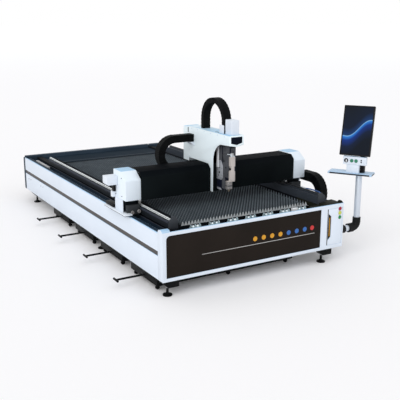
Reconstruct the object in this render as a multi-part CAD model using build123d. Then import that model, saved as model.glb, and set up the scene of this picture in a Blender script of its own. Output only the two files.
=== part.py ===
from build123d import *
import os
from math import cos, radians, sin

# Axes: x along the front, y from the front to the rear, z up from the floor. Millimetres.

# Bed envelope
bed_width = 2350
bed_length = 4675
ground_gap = 170
panel_height = 500
panel_sheet = 6
fit_gap = 0.3
cut_over = 20
bed_top = ground_gap + panel_height
mid_x = bed_width / 2

# Side panels: one folded sheet each, with a recessed strip and a rolled top edge
lip_width = 60
lip_drop = 30
panel_foot = 40
panel_roll = 18
strip_rise = 255
strip_height = 50
strip_depth = 12
strip_thick = 7
strip_start = 20

# Front frame: folded front sheet with a window and a door opening, and a bull-nosed post at its left end
front_depth = 107
front_height = 543
front_round = 48
front_back_lip = 120
post_width_front = 90
band_height = 522
band_return = 14
band_round = 5
window_left = 42
window_gap = 100
window_low = 36
window_height = 448
window_round = 45
window_corner = 6
plate_thick = 4
plate_overlap = 16
front_top = ground_gap + front_height
door_left_inset = 230
window_width = bed_width - door_left_inset - window_gap - window_left

# Rear wall and rear deck
rear_depth = 75
rear_height = 530
rear_lip = 140
rear_rim_depth = 75
rear_rim_drop = 2
rear_rim_width = 64
rear_rim_round = 30
rear_top = ground_gap + rear_height
deck_drop = 20
deck_sheet = 6
deck_upstand = 44
deck_length = 540

# Bed frame of box tubes
tube_width = 80
cross_width = 80
cross_drop = 130
front_cross_width = 100
front_cross_drop = 50
rear_cross_drop = 46
bay_count = 4
bay_rear_room = 1048
first_bay = 525
bay_pitch = (bed_length - front_depth - bay_rear_room) / bay_count

# Rail beams with a ledge for the guide rail and a rounded end plate
rail_outer = 160
ledge_width = 30
ledge_height = 94
beam_width = 64
beam_height = 130
beam_round = 46
beam_edge = 8
beam_start = 155
beam_rear_room = 715
beam_length = bed_length - beam_start - beam_rear_room
beam_inner = rail_outer + ledge_width + beam_width
end_plate = 6
end_plate_margin = 6
end_plate_drop = 12
end_plate_round = 50
guide_width = 18
guide_height = 13
guide_inset = 6
guide_end = 12
guide_joint = 7
guide_parts = 3
rack_width = 12
rack_height = 20
rack_drop = 15

# Gutters between the side panels and the rail beams
gutter_sheet = 4
gutter_floor_drop = 104
gutter_wall = 74

# Slat table
slat_count = 26
slat_thick = 4
slat_depth = 120
slat_front = 318
slat_left_gap = 132
slat_right_gap = 30
slat_deck_gap = 14
slat_run = bed_length - rear_depth - deck_length - slat_deck_gap - slat_front
slat_left = beam_inner + slat_left_gap
slat_width = bed_width - beam_inner - slat_right_gap - slat_left
tooth_count = 22
tooth_depth = 42
comb_thick = 12
comb_drop = 22
bearer_width = 50
bearer_height = 10

# Ball units of the loading edge
ball_group_count = 7
ball_left_gap = 215
ball_right_gap = 245
cabinet_left_inset = 250
ball_first = beam_inner + ball_left_gap
ball_pitch = (bed_width - cabinet_left_inset - ball_right_gap - ball_first) / (ball_group_count - 1)
ball_radius = 18
ball_spread = 54
ball_block_width = 118
ball_block_depth = 56
ball_block_height = 26
ball_sink = 12
ball_line = 52

# Levelling feet and their brackets
foot_left = 85
foot_right_inset = 250
foot_front = 70
foot_back_inset = 247
foot_middle_share = 0.4
foot_pad_radius = 50
foot_pad_height = 14
foot_stem_radius = 14
bracket_left = 85
bracket_right = 108
bracket_depth = 110
bracket_height = 75
bracket_slope = 70

# Electric cabinet behind the front frame, with a flush door on pivot pins
door_right_inset = 14
door_low = 45
door_height = 430
door_thick = 20
door_gap = 3
jamb_wall = 6
jamb_depth = 34
pin_radius = 4
pin_length = 22
cabinet_depth = 450
cabinet_wall = 4
backplate_thick = 3
backplate_margin = 14
unit_count = 3
unit_width = 52
unit_height = 210
unit_depth = 96
unit_rise = 150
handle_width = 44
handle_height = 320
handle_rise = 55
handle_inset = 4
handle_depth = 12
handle_taper = 40
handle_plate = 4
grip_width = 12
lamp_radius = 21
lamp_dome = 9
lamp_pitch = 51
lamp_inset = 42
lamp_drop = 60

# Pendant arm
arm_y = 60
arm_z = 355
arm_reach = 262
flange_radius = 44
flange_thick = 12
sleeve_radius = 38
elbow_radius = 47
elbow_bend = 64
elbow_run = 70
elbow_rise = 118
column_radius = 37
tray_top = 1015

# Pendant head, in its own axes: x to the screen's right, y away from the viewer
pendant_yaw = -56.4
tray_width = 512
tray_depth = 182
tray_thick = 22
tray_shift_x = -90
tray_shift_y = -26
tray_round = 8
tray_rim = 8
tray_dish = 6
neck_width = 144
neck_x = -60
neck_front = -90
box_width = 268
box_height = 93
box_x = -40
box_front = -95
post_front = -40
neck_height = 98
post_width = 48
post_x = 36
post_depth = 70
post_top_share = 0.25
monitor_width = 351
monitor_height = 576
monitor_thick = 45
monitor_x = -48
monitor_tilt = 14
monitor_gap = 3
monitor_round = 5
bezel_width = 14
screen_sink = 3
button_radius = 15
button_cap = 9
button_travel = 4
button_stem_radius = 7
button_stem = 20
button_offsets = (-33, 17)
knob_offset = -98
knob_radius = 17
knob_height = 16
knob_grip = 9

# Gantry
gantry_front = 780
gantry_depth = 316
gantry_low = 843
gantry_top = 1150
cover_outer = 35
cover_width = 183
cover_sheet = 5
cover_slope_run = 120
cover_slope_drop = 82
cover_round = 26
girder_front = 62
girder_depth = 240
girder_drop = 8
girder_height = 240
girder_wall = 14
shroud_front = -12
shroud_drop = 8
shroud_chamfer = 52
shroud_back = 305
shroud_back_lip = 30
shroud_sheet = 5
leg_block_width = 150
leg_block_depth = 200
leg_block_height = 120
leg_block_inset = 20
leg_front = 82
skirt_front = 88
skirt_depth = 205
skirt_sheet = 8
base_height = 12
base_clear = 20
base_front = -35
base_length = 585
base_width = 92
base_out = 68
bearing_length = 72
bearing_front_share = 0.25
bearing_rear_share = 0.85
bearing_clear = 2
bearing_side = 2
motor_width = 130
motor_depth = 115
motor_height = 100
motor_top = 60
motor_slope = 18
x_rail_height = 24
x_rail_thick = 15
x_rail_low = 60
x_rail_high = 190

# Carriage across the gantry
carriage_x = 1106
carriage_width = 188
hood_front = 375
hood_back = 1272
hood_top = 1520
hood_sheet = 5
hood_nose = 106
hood_vee = 18
arch_front = 554
arch_top = 1404
arch_back = 710
arch_low = 1205
shank_front = 716
shank_low = 837
shank_gap = 6
hood_clear = 6
rear_box_inset = 0
rear_box_depth = 120
rear_box_top = 10
rear_low = 1107
hanger_thick = 14
hanger_low_share = 0.2
bridge_thick = 16
face_thick = 24
motor_hood_width = 102
motor_hood_front = 400
motor_hood_depth = 130
motor_hood_height = 162
motor_hood_round = 10
badge_width = 141
badge_height = 68
badge_vee = 20
badge_thick = 3
badge_rise = 14

# Z slide and laser head
slide_left = 1080
slide_width = 84
slide_back_gap = 1
slide_depth = 110
slide_low = 868
slide_top = 1396
mount_width = 74
mount_depth = 157
mount_low = 1012
head_x = 1099
head_front = 430
head_width = 58
head_low = 1002
head_height = 275
head_waist = 9
waist_low_share = 0.4
waist_high_share = 0.62
head_neck_radius = 17
head_neck_height = 42
lens_block_width = 60
lens_block_height = 89
lens_block_inset = 22
lens_block_depth = 47
lens_shift = -23
nozzle_radius = 19
nozzle_tip_radius = 7
nozzle_height = 30

# Drag chains: links of one pitch, drawn as rigid chords
chain_pitch = 62
chain_link_share = 0.84
chain_bend_share = 0.72
chain_core_share = 0.72
chain_end_share = 0.25
y_chain_width = 90
y_chain_thick = 75
y_chain_gap = 3
y_chain_radius = 195
y_chain_z = 678
y_chain_y = 687
y_chain_attach = 870
y_chain_fixed = 2800
y_lug = 30
y_tray_floor = 6
y_tray_sheet = 4
y_tray_margin = 5
y_tray_wall = 60
y_tray_start = 410
y_tray_end = 60
y_tray_brackets = 4
y_tray_bracket_width = 60
y_tray_bracket_height = 30
x_chain_width = 100
x_chain_thick = 58
x_chain_radius = 185
x_chain_bend = 760
x_chain_fixed = 1200
x_tray_gap = 30
x_tray_sheet = 5
x_tray_margin = 6
x_tray_end = 40
x_tray_lip = 28
x_shelf_z = 1007
z_chain_width = 100
z_chain_thick = 62
z_chain_radius = 224
z_chain_rear = 1030
z_chain_z = 1640
z_chain_clear = 8

# Scrap trolleys under the table
trolley_left = 34
trolley_right_gap = 566
trolley_length = bed_width - trolley_left - trolley_right_gap
trolley_width = 640
trolley_floor = 56
trolley_height = 102
trolley_wall = 4
rod_radius = 9
rod_reach = 324
rod_rise = 29
tee_length = 110
wheel_radius = 24
wheel_width = 20
axle_radius = 4
wheel_shares = (0.02, 0.52, 0.97)
wheel_inset = 60
fork_width = 34
fork_cut = 1
axle_clear = 0.5


def block(x0, x1, y0, y1, z0, z1):
    return Pos((x0 + x1) / 2, (y0 + y1) / 2, (z0 + z1) / 2) * Box(x1 - x0, y1 - y0, z1 - z0)


def along_x(sketch, x0, x1):
    return extrude(Plane.YZ.offset(x0) * sketch, amount=x1 - x0)


def along_y(sketch, y0, y1):
    return extrude(Plane.XZ.offset(-y0) * sketch, amount=y0 - y1)


def along_z(sketch, z0, z1):
    return extrude(Plane.XY.offset(z0) * sketch, amount=z1 - z0)


def outline(points):
    return make_face(Polyline(*points, close=True))


def rect(u0, u1, v0, v1):
    return Pos((u0 + u1) / 2, (v0 + v1) / 2) * Rectangle(u1 - u0, v1 - v0)


def corners_at(sketch, places):
    return [min(sketch.vertices(), key=lambda v: (v.X - u) ** 2 + (v.Y - w) ** 2) for u, w in places]


def other_side(shape):
    return mirror(shape, about=Plane.YZ.offset(mid_x))


def both_sides(shape):
    return [shape, other_side(shape)]


def grouped(pieces):
    return Compound([solid for piece in pieces for solid in piece.solids()])


def panel_profile():
    low = ground_gap
    strip_low = ground_gap + strip_rise
    strip_high = strip_low + strip_height
    inner = strip_depth + panel_sheet
    points = [
        (0, low),
        (0, strip_low),
        (strip_depth, strip_low),
        (strip_depth, strip_high),
        (0, strip_high),
        (0, bed_top),
        (lip_width, bed_top),
        (lip_width, bed_top - lip_drop),
        (lip_width - panel_sheet, bed_top - lip_drop),
        (lip_width - panel_sheet, bed_top - panel_sheet),
        (panel_sheet, bed_top - panel_sheet),
        (panel_sheet, strip_high + panel_sheet),
        (inner, strip_high + panel_sheet),
        (inner, strip_low - panel_sheet),
        (panel_sheet, strip_low - panel_sheet),
        (panel_sheet, low + panel_sheet),
        (panel_foot, low + panel_sheet),
        (panel_foot, low),
    ]
    face = outline(points)
    face = fillet(corners_at(face, [(0, bed_top)]), panel_roll)
    return fillet(corners_at(face, [(panel_sheet, bed_top - panel_sheet)]), panel_roll - panel_sheet)


def side_panel():
    return along_y(panel_profile(), front_depth, bed_length - panel_sheet)


def trim_strip():
    low = ground_gap + strip_rise
    return block(strip_depth - strip_thick, strip_depth, front_depth + strip_start,
                 bed_length - panel_sheet, low, low + strip_height)


def front_profile(inset):
    face = rect(inset, front_depth - inset, ground_gap + inset, front_top - inset)
    return fillet(face.vertices().group_by(Axis.Y)[-1], front_round - inset)


def door_opening():
    left = bed_width - door_left_inset
    right = bed_width - door_right_inset
    low = ground_gap + door_low
    return left, right, low, low + door_height


def window_face(grow):
    left = window_left - grow
    right = window_left + window_width + grow
    low = ground_gap + window_low - grow
    high = ground_gap + window_low + window_height + grow
    face = rect(left, right, low, high)
    face = fillet(corners_at(face, [(left, high)]), window_round + grow)
    return fillet(corners_at(face, [(left, low), (right, low), (right, high)]), window_corner + grow)


def band_profile():
    low = ground_gap
    high = ground_gap + band_height
    sheet = panel_sheet
    face = outline([
        (0, low),
        (front_depth, low),
        (front_depth, low + sheet),
        (sheet, low + sheet),
        (sheet, high - sheet),
        (band_return, high - sheet),
        (band_return, high),
        (0, high),
    ])
    return fillet(corners_at(face, [(0, high)]), band_round)


def front_frame():
    shell = along_x(front_profile(0), 0, post_width_front)
    shell -= along_x(front_profile(panel_sheet), panel_sheet, post_width_front - panel_sheet)
    shell -= block(panel_sheet, post_width_front - panel_sheet, front_depth / 2, front_depth + cut_over,
                   ground_gap + panel_sheet, front_top - front_back_lip)
    shell += along_x(band_profile(), 0, bed_width)
    shell += block(bed_width - panel_sheet, bed_width, 0, front_depth, ground_gap, ground_gap + band_height)
    shell -= along_y(window_face(0), -cut_over, front_depth / 2)
    shell -= along_y(window_face(plate_overlap + fit_gap), panel_sheet, front_depth / 2)
    left, right, low, high = door_opening()
    jamb = block(left - jamb_wall, right + jamb_wall, 0, jamb_depth, low - jamb_wall, high + jamb_wall)
    shell += jamb
    shell -= block(left, right, -cut_over, front_depth / 2, low, high)
    pin_x = right - door_gap - door_thick / 2
    for z in (low + pin_length / 2, high - pin_length / 2):
        shell += Pos(pin_x, door_thick / 2, z) * Cylinder(pin_radius, pin_length)
    return shell


def front_panel():
    return along_y(window_face(plate_overlap), panel_sheet, panel_sheet + plate_thick)


def rear_wall():
    front = bed_length - rear_depth
    wall = block(0, bed_width, bed_length - panel_sheet, bed_length, ground_gap, rear_top)
    wall += block(0, bed_width, front, bed_length, rear_top - panel_sheet, rear_top)
    wall += block(0, bed_width, front, front + panel_sheet, bed_top + fit_gap, rear_top)
    wall += block(lip_width, bed_width - lip_width, front, front + panel_sheet, rear_top - rear_lip, rear_top)
    high = bed_top - rear_rim_drop
    back = bed_length + rear_rim_depth
    profile = rect(bed_length, back, ground_gap, high)
    profile = fillet(corners_at(profile, [(back, high)]), rear_rim_round)
    rim = along_x(profile, 0, bed_width)
    rim -= block(rear_rim_width, bed_width - rear_rim_width, bed_length, back + cut_over,
                 ground_gap + rear_rim_width, high - rear_rim_width)
    return wall + rim


def rear_deck():
    back = bed_length - rear_depth
    top = bed_top - deck_drop
    inner = beam_inner
    deck = block(inner, bed_width - inner, back - deck_length, back, top - deck_sheet, top)
    return deck + block(inner, bed_width - inner, back - deck_sheet, back, top, top + deck_upstand)


def cabinet_left():
    return bed_width - cabinet_left_inset


def bed_frame():
    low = ground_gap
    inner = beam_inner
    outer = inner - tube_width
    back = bed_length - rear_depth
    cabinet_back = front_depth + cabinet_depth
    pieces = [block(outer, inner, front_depth, back, low, bed_top)]
    pieces.append(other_side(block(outer, inner, cabinet_back, back, low, bed_top)))
    pieces.append(block(inner, cabinet_left(), front_depth, front_depth + front_cross_width,
                        low, bed_top - front_cross_drop))
    pieces.append(block(inner, bed_width - inner, back - front_cross_width, back, low,
                        bed_top - rear_cross_drop))
    for bay in range(bay_count):
        middle = first_bay + bay_pitch * (bay + 1 / 2)
        pieces.append(block(inner, bed_width - inner, middle - cross_width / 2, middle + cross_width / 2,
                            low, bed_top - cross_drop))
    return grouped(pieces)


def rail_beam():
    left = rail_outer
    step = rail_outer + ledge_width
    right = step + beam_width
    points = [
        (left, bed_top),
        (right, bed_top),
        (right, bed_top + beam_height),
        (step, bed_top + beam_height),
        (step, bed_top + ledge_height),
        (left, bed_top + ledge_height),
    ]
    face = outline(points)
    top = bed_top + beam_height
    face = fillet(corners_at(face, [(right, top)]), beam_round)
    face = fillet(corners_at(face, [(step, top)]), beam_edge)
    beam = along_y(face, beam_start, beam_start + beam_length)
    margin = end_plate_margin
    plate = rect(left - margin, right + margin, bed_top, top - end_plate_drop)
    plate = fillet(plate.vertices().group_by(Axis.Y)[-1], end_plate_round)
    return beam + along_y(plate, beam_start - end_plate, beam_start)


def guide_rail():
    left = rail_outer + guide_inset
    low = bed_top + ledge_height
    start = beam_start + guide_end
    part = (beam_length - 2 * guide_end) / guide_parts
    pieces = []
    for index in range(guide_parts):
        front = start + part * index
        pieces.append(block(left, left + guide_width, front, front + part - guide_joint, low, low + guide_height))
    rack_high = low - rack_drop
    pieces.append(block(rail_outer - rack_width, rail_outer, start, start + part * guide_parts,
                        rack_high - rack_height, rack_high))
    return pieces


def gutter():
    floor = bed_top - gutter_floor_drop
    right = beam_inner - tube_width
    shape = block(lip_width, right, front_depth, bed_length - rear_depth, floor, floor + gutter_wall)
    return shape - block(lip_width + gutter_sheet, right - gutter_sheet, front_depth - cut_over,
                         bed_length, floor + gutter_sheet, floor + gutter_wall + cut_over)


def slat_outline():
    low = bed_top - slat_depth
    valley = bed_top - tooth_depth
    pitch = slat_width / tooth_count
    points = [(slat_left, low), (slat_left + slat_width, low)]
    for index in range(tooth_count, 0, -1):
        points.append((slat_left + pitch * index, valley))
        points.append((slat_left + pitch * (index - 1 / 2), bed_top))
    points.append((slat_left, valley))
    return outline(points)


def slats():
    slat = along_y(slat_outline(), slat_front, slat_front + slat_thick)
    pitch = (slat_run - slat_thick) / (slat_count - 1)
    return grouped([Pos(0, pitch * index, 0) * slat for index in range(slat_count)])


def slat_combs():
    low = bed_top - cross_drop
    high = bed_top - comb_drop - tooth_depth
    back = slat_front + slat_run
    right = slat_left + slat_width
    middle = slat_left + slat_width / 2
    return grouped([
        block(slat_left - comb_thick, slat_left, slat_front, back, low, high),
        block(right, right + comb_thick, slat_front, back, low, high),
        block(middle - bearer_width / 2, middle + bearer_width / 2, slat_front, back, low, low + bearer_height),
    ])


def ball_places():
    half = ball_spread / 2
    return [(ball_first + ball_pitch * index, shift) for index in range(ball_group_count) for shift in (-half, half)]


def ball_blocks():
    low = bed_top - front_cross_drop
    middle = front_depth + ball_line
    pieces = []
    for index in range(ball_group_count):
        x = ball_first + ball_pitch * index
        piece = block(x - ball_block_width / 2, x + ball_block_width / 2, middle - ball_block_depth / 2,
                      middle + ball_block_depth / 2, low, low + ball_block_height)
        for shift in (-ball_spread / 2, ball_spread / 2):
            cup = Cylinder(ball_radius + fit_gap, ball_block_height)
            piece -= Pos(x + shift, middle, low + ball_block_height * 3 / 2 - ball_sink) * cup
        pieces.append(piece)
    return grouped(pieces)


def loading_balls():
    z = bed_top - front_cross_drop + ball_block_height - ball_sink + ball_radius + fit_gap
    return grouped([Pos(x + shift, front_depth + ball_line, z) * Sphere(ball_radius) for x, shift in ball_places()])


def foot_places():
    back = bed_length - foot_back_inset
    middle = foot_front + (back - foot_front) * foot_middle_share
    return [(x, y) for x in (foot_left, bed_width - foot_right_inset) for y in (foot_front, middle, back)]


def foot_brackets():
    pieces = []
    low = ground_gap - bracket_height
    for x, y in foot_places():
        points = [
            (x - bracket_left, ground_gap),
            (x - bracket_left + bracket_slope, low),
            (x + bracket_right, low),
            (x + bracket_right, ground_gap),
        ]
        piece = along_y(outline(points), y - bracket_depth / 2, y + bracket_depth / 2)
        pieces.append(piece - Pos(x, y, low) * Cylinder(foot_stem_radius, bracket_height))
    return grouped(pieces)


def levelling_feet():
    pieces = []
    top = ground_gap - bracket_height / 2
    for x, y in foot_places():
        pad = along_z(Pos(x, y) * Circle(foot_pad_radius), 0, foot_pad_height)
        cone = along_z(Pos(x, y) * Circle(foot_pad_radius / 2), foot_pad_height, 2 * foot_pad_height)
        stem = along_z(Pos(x, y) * Circle(foot_stem_radius), foot_pad_height, top)
        pieces.append(pad + cone + stem)
    return grouped(pieces)


def cabinet_shell():
    low = ground_gap + panel_sheet
    back = front_depth + cabinet_depth
    right = bed_width - panel_sheet - strip_depth - fit_gap
    shell = block(cabinet_left(), right, front_depth, back, low, bed_top - gutter_floor_drop)
    wall = cabinet_wall
    shell -= block(cabinet_left() + wall, right - wall, front_depth - cut_over, back - wall,
                   low + wall, bed_top - gutter_floor_drop - wall)
    stand = beam_inner - tube_width
    return shell + block(cabinet_left(), bed_width - stand, front_depth, back, bed_top - gutter_floor_drop, bed_top)


def backplate_front():
    return front_depth + cabinet_depth - cabinet_wall - backplate_thick


def cabinet_backplate():
    margin = cabinet_wall + backplate_margin
    right = bed_width - panel_sheet - strip_depth
    return block(cabinet_left() + margin, right - margin, backplate_front(), backplate_front() + backplate_thick,
                 ground_gap + panel_sheet + margin, bed_top - gutter_floor_drop - margin)


def drive_units():
    left = cabinet_left() + cabinet_wall + backplate_margin
    room = cabinet_left_inset - panel_sheet - strip_depth - 2 * (cabinet_wall + backplate_margin)
    low = ground_gap + unit_rise
    pieces = []
    for index in range(unit_count):
        x = left + room * (index + 1 / 2) / unit_count
        pieces.append(block(x - unit_width / 2, x + unit_width / 2, backplate_front() - unit_depth,
                            backplate_front(), low, low + unit_height))
    return grouped(pieces)


def door_box():
    left, right, low, high = door_opening()
    return left + door_gap, right - door_gap, low + door_gap, high - door_gap


def handle_outline():
    left, right, low, high = door_box()
    x0 = left + handle_inset
    x1 = x0 + handle_width
    z0 = low + handle_rise
    z1 = z0 + handle_height
    return outline([
        (x0, z0),
        (x1, z0 + handle_taper),
        (x1, z1 - handle_taper),
        (x0, z1),
    ])


def cabinet_door():
    left, right, low, high = door_box()
    half = door_thick / 2
    door = block(left, right - half, 0, door_thick, low, high)
    door += Pos(right - half, half, (low + high) / 2) * Cylinder(half, high - low)
    bore = Cylinder(pin_radius + fit_gap, pin_length)
    for z in (low - door_gap + pin_length / 2, high + door_gap - pin_length / 2):
        door -= Pos(right - half, half, z) * bore
    return door - along_y(handle_outline(), -cut_over, handle_depth)


def door_handle():
    left, right, low, high = door_box()
    plate = along_y(handle_outline(), handle_depth - handle_plate, handle_depth)
    x0 = left + handle_inset
    z0 = low + handle_rise + handle_taper
    return plate + block(x0 + grip_width, x0 + 2 * grip_width, 0, handle_depth, z0,
                         z0 + handle_height - 2 * handle_taper)


def status_lamps():
    left, right, low, high = door_box()
    pieces = []
    for index in range(3):
        z = high - lamp_drop - lamp_pitch * index + lamp_pitch
        dome = Cylinder(lamp_radius, lamp_dome)
        dome = fillet(dome.edges().group_by(Axis.Z)[-1], lamp_dome * 2 / 3)
        pieces.append(Pos(right - lamp_inset, -lamp_dome / 2, z) * Rot(90, 0, 0) * dome)
    return grouped(pieces)


def column_x():
    return bed_width + arm_reach


def arm_elbow():
    start = column_x() - elbow_run
    flange = Pos(bed_width + flange_thick / 2, arm_y, arm_z) * Rot(0, 90, 0) * Cylinder(flange_radius, flange_thick)
    path = FilletPolyline((start, arm_y, arm_z), (column_x(), arm_y, arm_z),
                          (column_x(), arm_y, arm_z + elbow_rise), radius=elbow_bend)
    section = Plane(origin=(start, arm_y, arm_z), z_dir=(1, 0, 0)) * Circle(elbow_radius)
    return grouped([flange, sweep(section, path=path)])


def arm_sleeve():
    x0 = bed_width + flange_thick
    x1 = column_x() - elbow_run
    return Pos((x0 + x1) / 2, arm_y, arm_z) * Rot(0, 90, 0) * Cylinder(sleeve_radius, x1 - x0)


def pendant_column():
    low = arm_z + elbow_rise
    return along_z(Pos(column_x(), arm_y) * Circle(column_radius), low, tray_top - tray_thick - fit_gap)


def on_pendant(shape):
    return Pos(column_x(), arm_y, 0) * Rot(0, 0, pendant_yaw) * shape


def keyboard_tray():
    x0 = tray_shift_x - tray_width / 2
    y0 = tray_shift_y - tray_depth / 2
    low = tray_top - tray_thick
    tray = block(x0, x0 + tray_width, y0, y0 + tray_depth, low, tray_top)
    tray = fillet(tray.edges().filter_by(Axis.Z), tray_round)
    dish = block(x0 + tray_rim, x0 + tray_width - tray_rim, y0 + tray_rim, neck_front - tray_rim,
                 tray_top - tray_dish, tray_top + cut_over)
    return on_pendant(tray - dish)


def pendant_neck():
    return on_pendant(block(neck_x - neck_width / 2, neck_x + neck_width / 2, neck_front, post_front,
                            tray_top, tray_top + neck_height))


def box_low():
    return tray_top + neck_height


def control_box():
    box = block(box_x - box_width / 2, box_x + box_width / 2, box_front, post_front, box_low(), box_low() + box_height)
    stem_bore = Cylinder(button_stem_radius + fit_gap, button_stem)
    for offset in button_offsets + (knob_offset,):
        box -= Pos(box_x + offset, box_front + button_stem / 2, button_z()) * Rot(90, 0, 0) * stem_bore
    return on_pendant(box)


def button_z():
    return box_low() + box_height / 2


def monitor_centre_z():
    lean = radians(monitor_tilt)
    return box_low() + box_height + monitor_gap + monitor_height / 2 * cos(lean) + monitor_thick / 2 * sin(lean)


def on_monitor(shape):
    return Pos(monitor_x, 0, monitor_centre_z()) * Rot(-monitor_tilt, 0, 0) * shape


def monitor_housing():
    body = Box(monitor_width, monitor_thick, monitor_height)
    body = fillet(body.edges().filter_by(Axis.Y), monitor_round)
    opening = Box(monitor_width - 2 * bezel_width, 2 * screen_sink, monitor_height - 2 * bezel_width)
    body -= Pos(0, -monitor_thick / 2, 0) * opening
    post = block(post_x - post_width / 2, post_x + post_width / 2, post_front, post_front + post_depth,
                 tray_top, monitor_centre_z() - monitor_height * post_top_share)
    return on_pendant(on_monitor(body) + post)


def screen_panel():
    size_x = monitor_width - 2 * bezel_width
    size_z = monitor_height - 2 * bezel_width
    pane = Pos(0, -monitor_thick / 2 + screen_sink * 3 / 4, 0) * Box(size_x, screen_sink / 2, size_z)
    return on_pendant(on_monitor(pane))


def push_button(offset):
    cap = Cylinder(button_radius, button_cap - button_travel - fit_gap)
    cap = Pos(0, 0, button_travel + fit_gap + (button_cap - button_travel - fit_gap) / 2) * cap
    length = button_stem - fit_gap
    stem = Pos(0, 0, (button_travel + fit_gap - (length - button_travel)) / 2) * Cylinder(
        button_stem_radius, button_travel + fit_gap + length - button_travel)
    return on_pendant(Pos(box_x + offset, box_front, button_z()) * Rot(90, 0, 0) * (cap + stem))


def selector_knob():
    base = Pos(0, 0, fit_gap + knob_height / 4) * Cylinder(knob_radius, knob_height / 2)
    grip = Pos(0, 0, fit_gap + knob_height / 2) * Box(knob_grip, 2 * knob_radius, knob_height)
    stem = Pos(0, 0, -button_stem / 4) * Cylinder(button_stem_radius, button_stem / 2 + 2 * fit_gap)
    grip &= Pos(0, 0, knob_height / 2 + fit_gap) * Cylinder(knob_radius, knob_height)
    return on_pendant(Pos(box_x + knob_offset, box_front, button_z()) * Rot(90, 0, 0) * (base + grip + stem))


def cover_outline(inset):
    front = gantry_front + inset
    back = gantry_front + gantry_depth - inset
    top = gantry_top - inset
    points = [
        (front, gantry_low),
        (back, gantry_low),
        (back, top),
        (front + cover_slope_run, top),
        (front, top - cover_slope_drop),
    ]
    face = outline(points)
    return fillet(corners_at(face, [points[3], points[4]]), cover_round)


def end_cover():
    left = -cover_outer
    right = left + cover_width
    shell = along_x(cover_outline(0), left, right)
    return shell - along_x(cover_outline(cover_sheet), left + cover_sheet, right - cover_sheet)


def cover_right():
    return cover_width - cover_outer


def gantry_beam():
    left = cover_right()
    low = gantry_low - girder_drop
    front = gantry_front + girder_front
    girder = block(left, bed_width - left, front, front + girder_depth, low, low + girder_height)
    wall = girder_wall
    girder -= block(left - cut_over, bed_width - left + cut_over, front + wall, front + girder_depth - wall,
                    low + wall, low + girder_height - wall)
    leg_right = rail_outer - leg_block_inset
    leg_front_y = gantry_front + leg_front
    leg = block(leg_right - leg_block_width, leg_right, leg_front_y, leg_front_y + leg_block_depth,
                gantry_low - leg_block_height, gantry_low)
    tie = block(leg_right, left + wall, leg_front_y, leg_front_y + leg_block_depth, low, gantry_low)
    for shape in both_sides(leg + tie):
        girder += shape
    return girder


def beam_cover():
    front = gantry_front + shroud_front
    back = gantry_front + shroud_back
    top = gantry_top - shroud_drop
    low = gantry_low - girder_drop
    sheet = shroud_sheet
    step = sheet / 2
    points = [
        (front, low),
        (front, top - shroud_chamfer),
        (front + shroud_chamfer, top),
        (back, top),
        (back, top - shroud_back_lip),
        (back - sheet, top - shroud_back_lip),
        (back - sheet, top - sheet),
        (front + shroud_chamfer + step, top - sheet),
        (front + sheet, top - shroud_chamfer - step),
        (front + sheet, low + sheet),
        (gantry_front + girder_front, low + sheet),
        (gantry_front + girder_front, low),
    ]
    return along_x(outline(points), cover_right(), bed_width - cover_right())


def gantry_legs():
    pieces = []
    base_low = bed_top + base_clear
    base_top = base_low + base_height
    front = gantry_front + skirt_front
    skirt_x = -cover_outer
    skirt = block(skirt_x, skirt_x + skirt_sheet, front, front + skirt_depth, base_top, gantry_low)
    base_y = gantry_front + base_front
    base = block(-base_out, base_width - base_out, base_y, base_y + base_length, base_low, base_top)
    pieces += both_sides(skirt + base)
    return grouped(pieces)


def bearing_blocks():
    left = rail_outer - bearing_side
    right = rail_outer + ledge_width - fit_gap
    low = bed_top + ledge_height + bearing_clear
    rail_left = rail_outer + guide_inset - fit_gap
    rail_right = rail_outer + guide_inset + guide_width + fit_gap
    rail_top = bed_top + ledge_height + guide_height + fit_gap
    pieces = []
    for share in (bearing_front_share, bearing_rear_share):
        y = gantry_front + leg_front + leg_block_depth * share
        piece = block(left, right, y - bearing_length / 2, y + bearing_length / 2, low, gantry_low - girder_drop)
        piece -= block(rail_left, rail_right, y - bearing_length, y + bearing_length, low - cut_over, rail_top)
        pieces += both_sides(piece)
    return grouped(pieces)


def drive_motor():
    right = -cover_outer
    left = right - motor_width
    back = gantry_front + gantry_depth
    top = gantry_top - motor_top
    low = top - motor_height
    points = [
        (left, low),
        (right, low),
        (right, top),
        (left, top),
    ]
    face = outline(points)
    face = chamfer(corners_at(face, [(left, low)]), motor_slope)
    return along_y(face, back - motor_depth, back)


def girder_back():
    return gantry_front + girder_front + girder_depth


def x_rails():
    left = cover_right()
    low = gantry_low - girder_drop
    pieces = []
    for rise in (x_rail_low, x_rail_high):
        pieces.append(block(left, bed_width - left, girder_back(), girder_back() + x_rail_thick,
                            low + rise, low + rise + x_rail_height))
    return grouped(pieces)


def straight_links(u0, v0, u1, v1):
    count = max(1, round(((u1 - u0) ** 2 + (v1 - v0) ** 2) ** 0.5 / chain_pitch))
    angle = Vector(u1 - u0, v1 - v0).get_signed_angle(Vector(1, 0), Vector(0, 0, -1))
    shares = [(index + 1 / 2) / count for index in range(count)]
    return [(u0 + (u1 - u0) * s, v0 + (v1 - v0) * s, angle) for s in shares]


def bend_links(u, v, radius, start, sweep_angle):
    count = round(abs(radians(sweep_angle)) * radius / chain_pitch)
    links = []
    for index in range(count):
        angle = start + sweep_angle * (index + 1 / 2) / count
        links.append((u + radius * cos(radians(angle)), v + radius * sin(radians(angle)), angle + 90))
    return links


def bend_thick(radius, thick):
    outer = radius + thick / 2
    sag = outer - (outer ** 2 - (chain_pitch * chain_link_share / 2) ** 2) ** 0.5
    return thick - 2 * (sag + fit_gap)


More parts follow.
